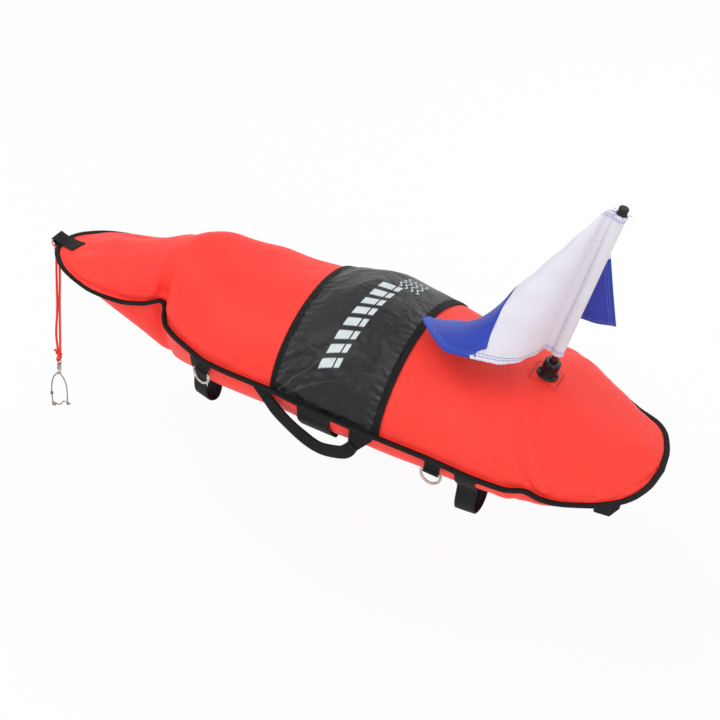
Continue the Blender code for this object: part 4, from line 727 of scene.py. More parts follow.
def spun_piece(name, profile, place, *rest, steps=64, closed=False, **finish):
    shape = bmesh.new()
    add_spun(shape, profile, place, steps, closed)
    return make_piece(name, shape, *rest, **finish)


def tube_piece(name, path, radius, *rest, sides=12, closed=False, **finish):
    shape = bmesh.new()
    add_tube(shape, path, radius, sides, closed)
    return make_piece(name, shape, *rest, **finish)


def place_frame(place, x_axis, z_axis):
    """A placing matrix with the given X and Z directions."""
    x_axis, z_axis = Vector(x_axis).normalized(), Vector(z_axis).normalized()
    y_axis = z_axis.cross(x_axis).normalized()
    x_axis = y_axis.cross(z_axis)
    return Matrix((
        (x_axis.x, y_axis.x, z_axis.x, place[0]), (x_axis.y, y_axis.y, z_axis.y, place[1]),
        (x_axis.z, y_axis.z, z_axis.z, place[2]), (0, 0, 0, 1)))


# Lanyard cords

RING_DROP = 0.0116
KNOT_LOOP = 0.005
KNOT_HEIGHT = 0.009
NOSE_RING_WIRE = 0.0013
CLEAR = 0.0003
STRAND_SHARES = (
    (0, -1.3, 1.3), (0.08, -1.45, 1.45), (0.2, -1.5, 1.6), (0.35, -1.35, 1.4), (0.5, -1.15, 1.15),
    (0.65, -1.7, 1.15), (0.78, -2.6, 1.2), (0.88, -2.3, 1.25), (0.95, -1.5, 1.2), (1, -1.2, 1.2),
)
TOP_LOOP_Z = -RING_DROP + NOSE_RING_WIRE + CORD_RADIUS + CLEAR - KNOT_LOOP
TOP_KNOT_Z = TOP_LOOP_Z - KNOT_LOOP + CORD_RADIUS / 2
LOW_KNOT_Z = -0.226
STRANDS_TOP = TOP_KNOT_Z - KNOT_HEIGHT - CLEAR
STRANDS_END = LOW_KNOT_Z + CLEAR
LOW_LOOP_Z = LOW_KNOT_Z - KNOT_HEIGHT - KNOT_LOOP + CORD_RADIUS / 2


def make_strands():
    """The two strands of the lanyard, from the knot at the ring to the knot at the swivel."""
    made = []
    for word, column in (("left", 1), ("right", 2)):
        places = [(NOSE_X + CORD_RADIUS * row[column], 0,
                   STRANDS_TOP + (STRANDS_END - STRANDS_TOP) * row[0]) for row in STRAND_SHARES]
        route = smooth_route(places, 40)
        strand = tube_piece(f"cord_strand_{word}", route, CORD_RADIUS, CORD, "lanyard",
                            (f"lanyard_strand_{word}",), "red_cord", sides=14)
        made.append((strand, route, path_length(route)))
    return made


def make_knot(name, loop_z, first, knot_z, node):
    """A loop of cord over the fitting, an overhand knot under it and the cord's cut end."""
    shape = bmesh.new()
    add_tube(shape, circle(Vector((NOSE_X, 0, loop_z)), first, UP, KNOT_LOOP), CORD_RADIUS * 0.97,
             closed=True)
    add_tube(shape, [(NOSE_X, 0, knot_z), (NOSE_X, 0, knot_z - KNOT_HEIGHT)], 0.0026)
    middle = Vector((NOSE_X, 0, knot_z - KNOT_HEIGHT / 2))
    overhand = [middle + Vector((0.00165 * (math.sin(t) + 2 * math.sin(2 * t)), 0.0013 * math.sin(3 * t),
                                 0.00155 * (math.cos(t) - 2 * math.cos(2 * t))))
                for t in (2 * math.pi * step / 96 for step in range(96))]
    add_tube(shape, overhand, 0.0017, closed=True)
    side = -1 if knot_z == LOW_KNOT_Z else 1
    add_tube(shape, smooth_route([middle + Vector((side * x, y, z)) for x, y, z in (
        (0.002, 0.0012, 0.001), (0.0062, 0.0015, 0.0022), (0.0098, 0.0004, 0.0052))], 10), 0.0018)
    return make_piece(name, shape, CORD, "lanyard", (node,), "red_cord")


STRANDS = make_strands()
KNOTS = (make_knot("cord_knot_at_ring", TOP_LOOP_Z, FORE, TOP_KNOT_Z, "lanyard_top_knot"),
         make_knot("cord_knot_at_swivel", LOW_LOOP_Z, SIDE, LOW_KNOT_Z, "lanyard_bottom_knot"))


# Hull surface

outline = curve_through(OUTLINE_SHARES)
lift = curve_through(LIFT_SHARES)
crown = curve_through(CROWN_SHARES)
belly = curve_through(BELLY_SHARES)
swing = curve_through(SWING_SHARES)


def share_at(x):
    return np.clip(np.asarray(x, float) / LENGTH + 0.5, 0, 1)


def seam_at(share, side):
    """The fabric's edge; side is -1 near and 1 far."""
    share = np.asarray(share, float)
    across = side * HALF_WIDTH * outline(share) - TAIL_SWING * swing(share)
    return stack(LENGTH * (share - 0.5), across, SEAM_LIFT * lift(share))


def seam_way(share, side):
    before, after = np.maximum(share - 0.0001, 0), np.minimum(share + 0.0001, 1)
    return unit(seam_at(after, side) - seam_at(before, side))


def inward(share, side):
    """Level direction from the fabric's edge to the spine, squarer at the pucker."""
    place = seam_at(share, side)
    spine = np.clip(share, 0.06, 0.9)
    target = stack(LENGTH * (spine - 0.5), -TAIL_SWING * swing(spine), place[..., 2])
    straight = unit(target - place)
    way = seam_way(share, side)
    square = unit(stack(way[..., 1] * side, -way[..., 0] * side, 0 * way[..., 0]))
    share_of = step_up(share, 0.175, 0.205) * (1 - step_up(share, 0.265, 0.295))
    return unit(straight * 2 + square * share_of[..., None])


def flange_up(share, side):
    up = unit(np.cross(seam_way(share, side), inward(share, side)) * -side)
    up[(np.asarray(share) < 0.0005) | (np.asarray(share) > 0.9995)] = (0, 0, 1)
    return up


def edge_droop(share, side):
    """How far the near edge hangs down between the nose and the pucker."""
    return (side < 0) * 0.0052 * bell(share, 0.115, 0.062)


def base_skin(share, angle, edge, half):
    """Inner face of a panel: angle runs from the far seam to the near one, edge out over the flange."""
    share = share[:, None] if share.ndim == 1 else share
    near_seam, far_seam = seam_at(share, -1), seam_at(share, 1)
    near, far = near_seam + inward(share, -1) * FLANGE, far_seam + inward(share, 1) * FLANGE
    middle = share_at((near[..., 0] + far[..., 0]) / 2)
    tall = CROWN_HEIGHT * crown(middle) if half > 0 else BELLY_DEPTH * belly(middle)
    rise = np.sin(angle)[None]
    t = angle[None] / math.pi
    along = far[..., 0] + (near[..., 0] - far[..., 0]) * t
    width = np.maximum(far[..., 1] - near[..., 1], 0) / 2
    across = (far[..., 1] + near[..., 1]) / 2 + width * np.cos(angle)[None]
    height = near[..., 2] * (1 - rise) + half * (tall * rise + FLANGE_GAP / 2)
    if half > 0:
        far_half = bell(angle[None], 0.95, 0.6)
        for at, spread, rise_by in FAR_CROWN_CHANGES:
            height = height + rise_by * bell(share, at, spread) * far_half
    places = stack(along, across, height)
    on_far, on_near = (edge > 0) & (angle < 1), (edge > 0) & (angle > 1)
    reach = edge[None, :, None]
    far_edge = far + (far_seam - far) * reach + np.array((0, 0, half * FLANGE_GAP / 2))
    near_edge = near + (near_seam - near) * reach + np.array((0, 0, half * FLANGE_GAP / 2))
    near_edge[..., 2] -= edge_droop(share, -1) * edge[None]
    places[:, on_far] = far_edge[:, on_far]
    places[:, on_near] = near_edge[:, on_near]
    return places


def outward_way(places, half=1):
    across = np.gradient(places, axis=1)
    along = np.gradient(places, axis=0)
    return unit(np.cross(across, along)) * half


def skin_waves(share, angle, edge, places, half):
    """Tucks at the two puckers, gathers along the seam and slow swells, in metres outward."""
    s, a = share[:, None], angle[None]
    x, y = places[..., 0], places[..., 1]
    from_near, from_far = math.pi - a, a
    nearest = np.minimum(from_near, from_far)
    on_skin = step_up(nearest, 0.02, 0.16)
    total = 0
    for middle, lean, depth, reach in TUCKS:
        for away in (from_near, from_far):
            slant = middle + lean * away
            tuck = -depth * bell(s, slant, 0.0062) + depth * 0.5 * (bell(s, slant - 0.018, 0.011)
                                                                    + bell(s, slant + 0.02, 0.012))
            total = total + tuck * bell(away, 0, reach)
    if half < 0:
        total = total + 0.0062 * bell(s, 0.835, 0.04) * bell(from_near, 0.5, 0.42)
    gathers = wave(s, 0.041, 0.6) + 0.7 * wave(s, 0.0273, 2.1) + 0.5 * wave(s, 0.0171)
    total = total + 0.00085 * gathers * bell(nearest, 0, 0.3)
    swell = (wave(s / 0.17 + a / 2.6) + wave(s / 0.098 - a / 1.7, lag=1.3)
             + 0.8 * wave(s / 0.24 + a / 0.9, lag=4))
    total = total + 0.0008 * swell
    nose = (1 - step_up(s, 0.1, 0.26)) * step_up(s, 0.03, 0.08)
    total = total + 0.0018 * nose * wave(a / 0.8 + s / 0.3, lag=0.4)
    calm = 1 - step_up(x, -0.075, -0.052) * (1 - step_up(x, 0.126, 0.15)) if half > 0 else 0.45
    calm = calm * step_up(x, -0.465, -0.43)
    if half > 0:
        calm = calm * step_up(np.hypot(x - MAST_X, y), 0.034, 0.06)
    return total * calm * on_skin * (edge[None] == 0)


def fine_shares(count=235, low=0.00004, high=0.99996):
    """Shares evenly spaced along the seam, so the blunt ends get as many rows as the sides."""
    t = 0.5 - 0.5 * np.cos(np.linspace(0, math.pi, 9001))
    shares = low + (high - low) * t
    lengths = lengths_along(seam_at(shares, -1))
    even = np.interp(np.linspace(0, lengths[-1], count), lengths, shares)
    tucks = [*np.arange(0.205, 0.262, 0.0022), *np.arange(0.83, 0.882, 0.0026)]
    keep = []
    for share in np.unique(np.concatenate([even, tucks])):
        place = np.interp(share, shares, lengths)
        if not keep or place - keep[-1][1] > 0.0012:
            keep.append((share, place))
    keep = np.array(keep)[:, 0]
    keep[-1] = high
    return keep


def skin_columns(count, edges=(1, 0.7, 0.35)):
    """Angles and flange shares of the columns from the far edge to the near edge."""
    inner = np.linspace(0, math.pi, count)
    angle = np.concatenate([np.zeros(len(edges)), inner, np.full(len(edges), math.pi)])
    edge = np.concatenate([edges, np.zeros(count), edges[::-1]])
    return angle, edge


def girth_lengths(shares, places):
    return stack((LENGTH * shares)[:, None], lengths_along(places, 1))


def cut_round(shape, centre, axis, radius):
    """Opens a round hole about an axis, hidden under a flange."""
    gone = []
    for vertex in shape.verts:
        offset = vertex.co - centre
        if (offset - axis * offset.dot(axis)).length < radius and abs(offset.dot(axis)) < 0.04:
            gone.append(vertex)
    bmesh.ops.delete(shape, geom=gone, context="VERTS")


def make_skin(half, name, node, foot, axis):
    """One panel of the hull with the hole under its fitting; hands back its whole surface."""
    shares = fine_shares()
    angle, edge = skin_columns(117)
    places = base_skin(shares, angle, edge, half)
    way = outward_way(places, half)
    places = places + way * (PANEL_CLOTH + skin_waves(shares, angle, edge, places, half))[..., None]
    shape = bmesh.new()
    bend_grid(shape, places, girth_lengths(shares, places), weld=False)
    if half < 0:
        bmesh.ops.reverse_faces(shape, faces=shape.faces)
    whole = BVHTree.FromBMesh(shape)
    cut_round(shape, foot, axis, FITTING_HOLE)
    make_piece(name, shape, RED_HULL, "float", (node,), "red_coated_fabric", cloth=PANEL_CLOTH, offset=-1,
               sharp=50)
    return whole


TOP_TREE = make_skin(1, "hull_skin_above", "hull_top_panel", MAST_FOOT, MAST_AXIS)
LOW_TREE = make_skin(-1, "hull_skin_below", "hull_bottom_panel", VALVE_FOOT, UP)


def skin_height(tree, x, y, half):
    hit = tree.ray_cast(Vector((x, y, half)), Vector((0, 0, -half)))[0]
    return hit.z if hit else 0.0


def make_binding():
    """Folded binding sewn round the whole seam, with a soft rounded fold."""
    shares = np.concatenate([[0], fine_shares(400), [1]])
    arc_angles = np.radians(np.linspace(90, 270, 9))
    fold = [(0.0009 + TAPE_HALF * math.cos(a), TAPE_HALF * math.sin(a)) for a in arc_angles]
    section = [(TAPE_REACH - 0.0005, TAPE_HALF * 0.78), (TAPE_REACH * 0.8, TAPE_HALF * 1.02),
               (TAPE_REACH * 0.5, TAPE_HALF * 0.95), *fold,
               (TAPE_REACH * 0.5, -TAPE_HALF * 0.95), (TAPE_REACH * 0.8, -TAPE_HALF * 1.02),
               (TAPE_REACH - 0.0005, -TAPE_HALF * 0.78), (TAPE_REACH, -TAPE_HALF_INSIDE),
               (0.0006, -TAPE_HALF_INSIDE), (0.0006, TAPE_HALF_INSIDE),
               (TAPE_REACH, TAPE_HALF_INSIDE)]
    section.append(section[0])
    section = np.array(section)
    rings = []
    for side, order in ((-1, slice(None)), (1, slice(-2, 0, -1))):
        place, into, up = seam_at(shares, side), inward(shares, side), flange_up(shares, side)
        hang = edge_droop(shares, side)
        place[:, 2] -= hang
        into = unit(into * FLANGE + hang[:, None] * np.array((0, 0, 1)))
        up = unit(up - into * (up * into).sum(1, keepdims=True))
        slim = (side < 0) * bell(shares, 0.1, 0.075)[:, None, None]
        ring = (place[:, None] + into[:, None] * section[None, :, :1] * (1 - 0.36 * slim)
                + up[:, None] * section[None, :, 1:] * (1 - 0.26 * slim))
        rings.append(ring[order])
    rings = np.concatenate(rings)
    rings = np.concatenate([rings, rings[:1]])
    lengths = stack(lengths_along(rings[:, 7])[:, None], lengths_along(section))
    run = lengths[..., :1]
    rings[..., 2:] += 0.00016 * wave(run, 0.013) * wave(run, 0.0471) * np.sign(section[None, :, 1:])
    cloth_piece("seam_tape", rings, BINDING, "float", ("seam_binding",), "black_webbing", lengths=lengths,
                weld=True, sharp=60)


make_binding()


# Band over the top panel

def band_grid(front, rear, rows, columns, standoff):
    """The skin under part of the band, which slides tailwards on the far side, and the cloth over it."""
    shares = share_at(np.linspace(front, rear, rows))
    angle, edge = skin_columns(columns, edges=(0.3, 0.2, 0.1))
    back = np.linspace(front - BAND_FRONT, rear - BAND_FRONT, rows)[:, None] / (BAND_REAR - BAND_FRONT)
    slide = (0.002 + 0.007 * back) * bell(angle[None], 0.5, 0.75)
    base = base_skin(shares[:, None] + slide / LENGTH, angle, edge, 1)
    way = outward_way(base)
    return girth_lengths(shares, base), way, base + way * (PANEL_CLOTH + standoff)


def make_band():
    """The nylon, gathered along both tapes and dragged into folds at its near end."""
    front, rear = BAND_FRONT + BAND_TAPE - BAND_LAP, BAND_REAR - BAND_TAPE + BAND_LAP
    lengths, way, places = band_grid(front, rear, 96, 150, 0.0009)
    lengths[..., 0] -= lengths[0, 0, 0]
    x, girth = lengths[..., 0], lengths[..., 1]
    nearness = girth[:, -1:] - girth
    from_rear = x[-1:] - x
    pull = 0
    for distance, (spacing, lag) in zip((x, from_rear), BAND_GATHERS):
        beat = 0.65 + 0.35 * wave(girth, 0.061, lag)
        gather = 0.5 + 0.5 * wave(girth, spacing, lag + 5 * np.sin(girth * 40))
        pull = pull + 0.0021 * beat * gather * np.exp(-distance / 0.012)
    drag = 0
    for middle, lean, height, width in BAND_FOLDS:
        drag = drag + (height * bell(nearness - lean * x, middle, width) * bell(nearness, 0, 0.11)
                       * bell(x, 0.035, 0.07))
    for middle, height in CORNER_FOLDS:
        line = nearness - 0.4 * (0.152 - x) - (middle - 0.1) * 2
        drag = drag + height * bell(line, 0.035, 0.009) * bell(x, middle, 0.035)
    slow = 1 + wave(x / 0.085 + girth / 0.13) * wave(girth, 0.21, math.pi / 2)
    rise = pull + drag + 0.027 * slow * np.minimum(x, from_rear)
    rise = rise * step_up(np.minimum(girth, nearness), 0.0, 0.02)
    cloth_piece("band_cloth", places + way * rise[..., None], band_nylon(float(girth[:, -1].mean())),
                "float", ("band_panel",), "black_nylon", lengths=lengths, cloth=0.0007, offset=1, sharp=60)


def make_band_tapes():
    """The bindings sewn over the band's front and rear edges."""
    for word, low in (("front", BAND_FRONT), ("rear", BAND_REAR - BAND_TAPE)):
        lengths, way, places = band_grid(low, low + BAND_TAPE, 8, 170, 0.0014)
        lengths = lengths[..., ::-1].copy()
        lengths[..., 1] -= lengths[0, 0, 1]
        t = np.linspace(-1, 1, 8)[:, None]
        crowned = 0.0007 * (1 - t**4) + 0.00025 * wave(lengths[..., 0], 0.0125)
        cloth_piece(f"band_tape_{word}", places + way * crowned[..., None], TAPE, "float",
                    (f"band_{word}_binding",), "black_webbing", lengths=lengths, cloth=0.0016, offset=0.2,
                    sharp=70)


make_band()
make_band_tapes()


# Mast

MAST_PLACE = place_frame(MAST_FOOT, MAST_SIDE, MAST_AXIS)


def make_patch():
    """Square patch welded on the crown, with a weld line inside its edge."""
    t = np.linspace(-1, 1, 45)
    rows = []
    for along in t:
        row = []
        for across in t[::-1]:
            corner, both = max(abs(along), abs(across)), min(abs(along), abs(across))
            pull = 1 - 0.146 * corner**4 * both**4
            x, y = PATCH_X + PATCH_SIDE / 2 * along * pull, PATCH_SIDE / 2 * across * pull
            row.append((x, y, skin_height(TOP_TREE, x, y, 1) + 0.0004))
        rows.append(row)
    lengths = np.stack(np.meshgrid(t, t[::-1], indexing="ij"), -1) * PATCH_SIDE / 2
    shape = bmesh.new()
    bend_grid(shape, rows, lengths, weld=False)
    cut_round(shape, MAST_FOOT, MAST_AXIS, 0.0105)
    make_piece("welded_patch", shape, RED_PATCH, "float", ("mast_patch",), "red_coated_fabric",
               cloth=0.0009, offset=1, sharp=60)


def make_socket():
    """Closed cup with eight small ribs on its flange, and the seal that sits on its rim."""
    shape = bmesh.new()
    profile = [(0.0003, -0.038), (0.0055, -0.038), (0.0055, 0.0185), (0.009, 0.0185), (0.009, 0.011),
               (0.0115, 0.011), (0.0118, 0.0035), (0.0148, 0.003), (0.0162, 0.0018), (0.0162, 0),
               (0.0105, -0.0002), (0.0103, -0.04), (0.0003, -0.04)]
    add_spun(shape, [(0, -0.038), *eased(profile, 0.0008), (0, -0.04)], MAST_PLACE)
    rib_place = (Matrix.Translation((0.0131, 0, 0.0042)) @ Matrix.Rotation(math.radians(38), 4, "Y")
                 @ Matrix.Diagonal((0.0042, 0.0011, 0.0016, 1)))
    for index in range(8):
        rib = bmesh.ops.create_cube(shape, size=1)["verts"]
        place = MAST_PLACE @ Matrix.Rotation(2 * math.pi * index / 8, 4, "Z") @ rib_place
        bmesh.ops.transform(shape, matrix=place, verts=rib)
    make_piece("socket_body", shape, PLASTIC, "float", ("mast_socket",), "black_plastic", sharp=32)
    spun_piece("seal_ring", [(0.0056, 0.0188), (0.0056, 0.0218), (0.0087, 0.0218), (0.0087, 0.0188)],
               MAST_PLACE, RUBBER, "float", ("mast_seal",), "black_rubber", closed=True)


def make_nut():
    """Clamping nut with eight finger grooves."""
    profile = eased([(0.0122, 0.0113), (0.0122, 0.0232), (0.0107, 0.025), (0.0068, 0.0252),
                     (0.0058, 0.0245), (0.0058, 0.0221), (0.0093, 0.0221), (0.0093, 0.0113)], 0.0007)
    fluted_piece("clamp_nut", [*profile[1:], profile[0]], MAST_PLACE, "nut", "mast_nut", steps=128,
                 count=8, depth=0.0013, slope=0.0016, power=3, closed=True)


def make_rod():
    """The mast and the rubber cap on its tip."""
    profile = eased([(0.0049, 0.2915), (0.0052, 0.291), (0.0052, -0.0374), (0.0048, -0.0377)], 0.0003)
    spun_piece("flag_mast", [(0, 0.2915), *profile, (0, -0.0377)], MAST_PLACE, ROD, "mast", ("mast_rod",),
               "black_glass_fibre", steps=48, sharp=40)
    profile = eased([(0.0001, 0.2945), (0.0058, 0.2945), (0.0068, 0.2936), (0.0068, 0.2895),
                     (0.0064, 0.2885), (0.0068, 0.2875), (0.0068, 0.285), (0.0055, 0.285),
                     (0.0055, 0.2917), (0.0001, 0.2918)], 0.0006)
    spun_piece("mast_cap", [(0, 0.2945), *profile, (0, 0.2918)], MAST_PLACE, RUBBER, "mast",
               ("mast_tip_cap",), "black_rubber", steps=48, sharp=40)


make_patch()
make_socket()
make_nut()
make_rod()


# Flag

FLAG_HEIGHT = 0.2455
FLY = 0.25
WHITE_WIDTH = 0.13
NOTCH = 0.065
SLEEVE_EDGE = 0.0068
SLEEVE_RADIUS = 0.0077
BLUE_LAP = 0.007
SLEEVE_BOTTOM = 0.0385
FOLD_START = 0.018
LEAVE_TURN = math.radians(8)
TAIL_FOLD_OUT = 0.06
TAIL_CURL = 0.154
RULING_SHARES = (
    (0, 0.162, 0), (0.167, 0.259, 0.248), (0.333, 0.465, 0.291), (0.5, 0.518, 0.083),
    (0.667, 0.348, 0.018), (0.833, 0.132, -0.186), (1, -0.133, -0.312),
)
RULINGS = np.array(smooth_route([(-row[1], -row[2], 0) for row in RULING_SHARES], 97))
FLAG_TOP = np.array(MAST_FOOT + MAST_AXIS * (SLEEVE_BOTTOM + FLAG_HEIGHT))
FORWARD = -np.array(SIDE.cross(MAST_AXIS))
LEAVE = FORWARD * math.cos(LEAVE_TURN) - np.array((0, 1, 0)) * math.sin(LEAVE_TURN)
AXIS = np.array(MAST_AXIS)
DOWN = np.linspace(0, FLAG_HEIGHT, 111)[:, None] + np.zeros((1, 61))
OUT_SHARES = np.linspace(0, 1, 61)[None]


def ruling(share):
    along = np.clip(share, 0, 1) * (len(RULINGS) - 1)
    x, y = (np.interp(along, np.arange(len(RULINGS)), RULINGS[:, k]) for k in (0, 1))
    return stack(x, y, -np.sqrt(1 - x**2 - y**2))


def cone_place(out, down):
    """A point of the flat flag where it hangs, out from the mast and down from the top edge."""
    out, down = np.broadcast_arrays(np.asarray(out, float), np.asarray(down, float))
    apex = FLAG_TOP + LEAVE * FOLD_START
    reach = np.hypot(out - FOLD_START, down)
    turn = np.arctan2(np.maximum(out - FOLD_START, 0), np.maximum(down, 1e-9)) / (math.pi / 2)
    hung = apex + ruling(turn) * reach[..., None]
    flat = FLAG_TOP + LEAVE * out[..., None] - AXIS * down[..., None]
    return np.where((out <= FOLD_START)[..., None], flat, hung)


def cloth_place(out, down):
    """The same, with the lower tail curled about a line to the notch."""
    hem, notch = np.array((TAIL_FOLD_OUT, FLAG_HEIGHT)), np.array((FLY - NOTCH, FLAG_HEIGHT / 2))
    line = (notch - hem) / np.linalg.norm(notch - hem)
    outside = np.array((-line[1], line[0]))
    offset = stack(out, down) - hem
    beyond = offset @ outside
    foot = hem + line * (offset @ line)[..., None]
    place = cone_place(foot[..., 0], foot[..., 1])
    a, b = foot + outside * 0.0001, foot + line * 0.0001
    ahead = unit(cone_place(a[..., 0], a[..., 1]) - place)
    beside = unit(cone_place(b[..., 0], b[..., 1]) - place)
    turn = (beyond / TAIL_CURL)[..., None]
    curled = place + TAIL_CURL * (ahead * np.sin(turn) + np.cross(beside, ahead) * (1 - np.cos(turn)))
    plain = cone_place(out, down)
    return np.where(((down > FLAG_HEIGHT / 2) & (beyond > 0))[..., None], curled, plain)


def free_edge(down):
    """How far out the swallowtail's edge lies."""
    return FLY - NOTCH * (1 - np.abs(2 * down / FLAG_HEIGHT - 1))


def hung_sheet(out, down):
    """The cloth where it hangs: its free edge droops by the notch and leans out at the top."""
    places = cloth_place(out, down)
    loose = np.clip((out - WHITE_WIDTH) / (free_edge(down) - WHITE_WIDTH), 0, 1)
    high = np.clip(1 - 2 * down / FLAG_HEIGHT, 0, 1)
    places[..., 2] -= 0.014 * loose**0.9 * bell(down / FLAG_HEIGHT, 0.66, 0.2)
    places[..., 0] += 0.005 * (out / FLY)**2 * high
    return places, outward_way(places)


def seam_out(down):
    """How far out the white half ends: narrower at the top, fuller in the middle and at the hem."""
    share = down / FLAG_HEIGHT
    return (WHITE_WIDTH - 0.02 * (1 - share)**2 + 0.02 * bell(share, 0.44, 0.16)
            + 0.013 * step_up(share, 0.925, 0.965))


def make_white_half():
    """The white half and the two hems folded over on it."""
    width = seam_out(DOWN) - SLEEVE_EDGE
    out = SLEEVE_EDGE + width * OUT_SHARES
    places, way = hung_sheet(out, DOWN)
    flutter = 0.0011 * wave(out, 0.034, 0.8) * np.exp((DOWN - FLAG_HEIGHT) / 0.02)
    flutter += 0.0007 * wave(DOWN, 0.046, out * 30) * step_up(out, 0.02, 0.06)
    places = places + way * flutter[..., None]
    lengths = np.stack([out, DOWN], -1)
    white = cloth_piece("flag_white_half", places, WHITE, "flag", ("flag_white_panel",),
                        "white_flag_cloth", lengths=lengths, cloth=0.0006, sharp=70)
    for word, low, high in (("low", FLAG_HEIGHT - 0.0125, FLAG_HEIGHT), ("top", 0, 0.0115)):
        keep = (DOWN[:, 0] >= low) & (DOWN[:, 0] <= high)
        cloth_piece(f"flag_hem_{word}", places[keep], WHITE, "flag", (), "white_flag_cloth",
                                lengths=lengths[keep], cloth=0.0015, sharp=70)


def make_blue_half():
    """The blue swallowtail half, which laps under the white one."""
    edge, inner = free_edge(DOWN), seam_out(DOWN) - BLUE_LAP
    out = inner + (edge - inner) * OUT_SHARES
    places, way = hung_sheet(out, DOWN)
    flutter = 0.0013 * wave(DOWN, 0.04, 1) * np.exp(-(edge - out) / 0.025)
    under = 0.0009 * (1 - step_up(out - inner, 0.005, 0.013))
    places = places + way * (flutter * step_up(out, WHITE_WIDTH, WHITE_WIDTH + 0.03) + under)[..., None]
    blue = cloth_piece("flag_blue_half", places, BLUE, "flag", ("flag_blue_panel",), "blue_flag_cloth",
                       lengths=np.stack([edge - out, DOWN], -1), cloth=0.0006, sharp=70)
    float((edge - inner).mean()) * FLAG_HEIGHT


def make_sleeve():
    """The white sleeve round the mast, hemmed at both ends, with a few frayed threads at its top."""
    beside = np.cross(AXIS, LEAVE)
    t = np.linspace(0, 1, 90)
    angles = np.linspace(0, 2 * math.pi, 49)
    hem = 1 + 0.05 * (bell(t, 0.012, 0.022) + bell(t, 0.985, 0.022))
    crease = 0.0004 * np.sin(t * 40) * np.sin(t * 9 + 1)
    long, wide = 0.0085 * hem, (0.0068 + crease) * hem
    centre = FLAG_TOP - AXIS * FLAG_HEIGHT + AXIS * FLAG_HEIGHT * t[:, None]
    outer = (centre[:, None] + LEAVE * (long[:, None] * np.cos(angles))[..., None]
             + beside * (wide[:, None] * np.sin(angles))[..., None])
    lengths = stack((t * FLAG_HEIGHT)[:, None], angles * SLEEVE_RADIUS)
    sleeve = cloth_piece("flag_sleeve_cloth", outer, SHADED_SLEEVE, "flag", ("flag_sleeve",), "white_flag_cloth",
                         lengths=lengths, weld=True, cloth=0.0007, offset=-1, sharp=60)
    shape = bmesh.new()
    for index in range(9):
        angle = 2.4 * index
        side = Vector(LEAVE) * math.cos(angle) * 0.0084 + Vector(beside) * math.sin(angle) * 0.0068
        start = Vector(FLAG_TOP) + side - MAST_AXIS * 0.0015
        bend = start + MAST_AXIS * 0.003 + side * 0.25
        end = bend + side * (0.3 + 0.12 * (index % 3)) - MAST_AXIS * (0.001 * (index % 4))
        add_tube(shape, smooth_route([start, bend, end], 8), 0.00028, sides=6)
    make_piece("sleeve_threads", shape, THREAD, "flag", (), "blue_flag_cloth")


make_sleeve()
make_white_half()
make_blue_half()


# Straps, rings and handle on the seam

def near_reach(x):
    share = share_at(x)
    return float(HALF_WIDTH * outline(share) + TAIL_SWING * swing(share))


def seam_tangent(x):
    return Vector((0.025, near_reach(x - 0.0125) - near_reach(x + 0.0125), 0)).normalized()


def under_binding(x):
    return Vector((x, -(near_reach(x) - BINDING_DEPTH / 2), -BINDING_HALF))


def arc(centre, radius, start, end, steps):
    angles = [math.radians(start + (end - start) * index / steps) for index in range(steps + 1)]
    return [(centre[0] + radius * math.cos(a), centre[1] + radius * math.sin(a)) for a in angles]


def d_path(half, corner, side):
    inner = half - corner
    path = [(-inner + 2 * inner * t / 6, 0) for t in range(7)]
    path += arc((inner, -corner), corner, 90, 0, 8)[1:]
    path += arc((0, -corner - side), half, 0, -180, 44)
    path += arc((-inner, -corner), corner, 180, 90, 8)[:-1]
    return path


def make_ring(name, place, half, corner, side, wire, body, node):
    path = [place @ Vector((along, 0, up)) for along, up in d_path(half, corner, side)]
    tube_piece(name, path, wire, NICKEL, body, (node,), "nickel_plated_steel", sides=16, closed=True,
               sharp=60)


def make_side_rings():
    """Two D-rings, each in the fold of a webbing tab that hangs from the binding."""
    drop, bend, gap = 0.0215, 0.00305, 0.00085
    high = drop - 0.001
    line = [(-gap, high), (-gap, high * 0.6), *arc((0, 0), bend, 106, 434, 24), (gap, high * 0.6),
            (gap, high)]
    fold = smooth_route([(a, b, 0) for a, b in line], 70)
    for word, x in (("front", -0.16), ("rear", 0.216)):
        hang, tangent = under_binding(x), seam_tangent(x)
        bar = Vector((hang.x, hang.y, -drop))
        across = UP.cross(tangent)
        rows = [[bar + across * point.x + UP * point.y + tangent * (w - 0.5) * 0.0232
                 for w in evenly(15)] for point in fold]
        cloth_piece(f"ring_tab_{word}", rows, STRAP, "float", (f"d_ring_tab_{word}",), "black_webbing",
                    cloth=0.0014, sharp=50, rounds=0.0003)
        make_ring(f"side_ring_{word}", place_frame(bar, tangent, UP), 0.015, 0.003, 0.0015, 0.002,
                  f"ring_at_{word}", f"d_ring_{word}")


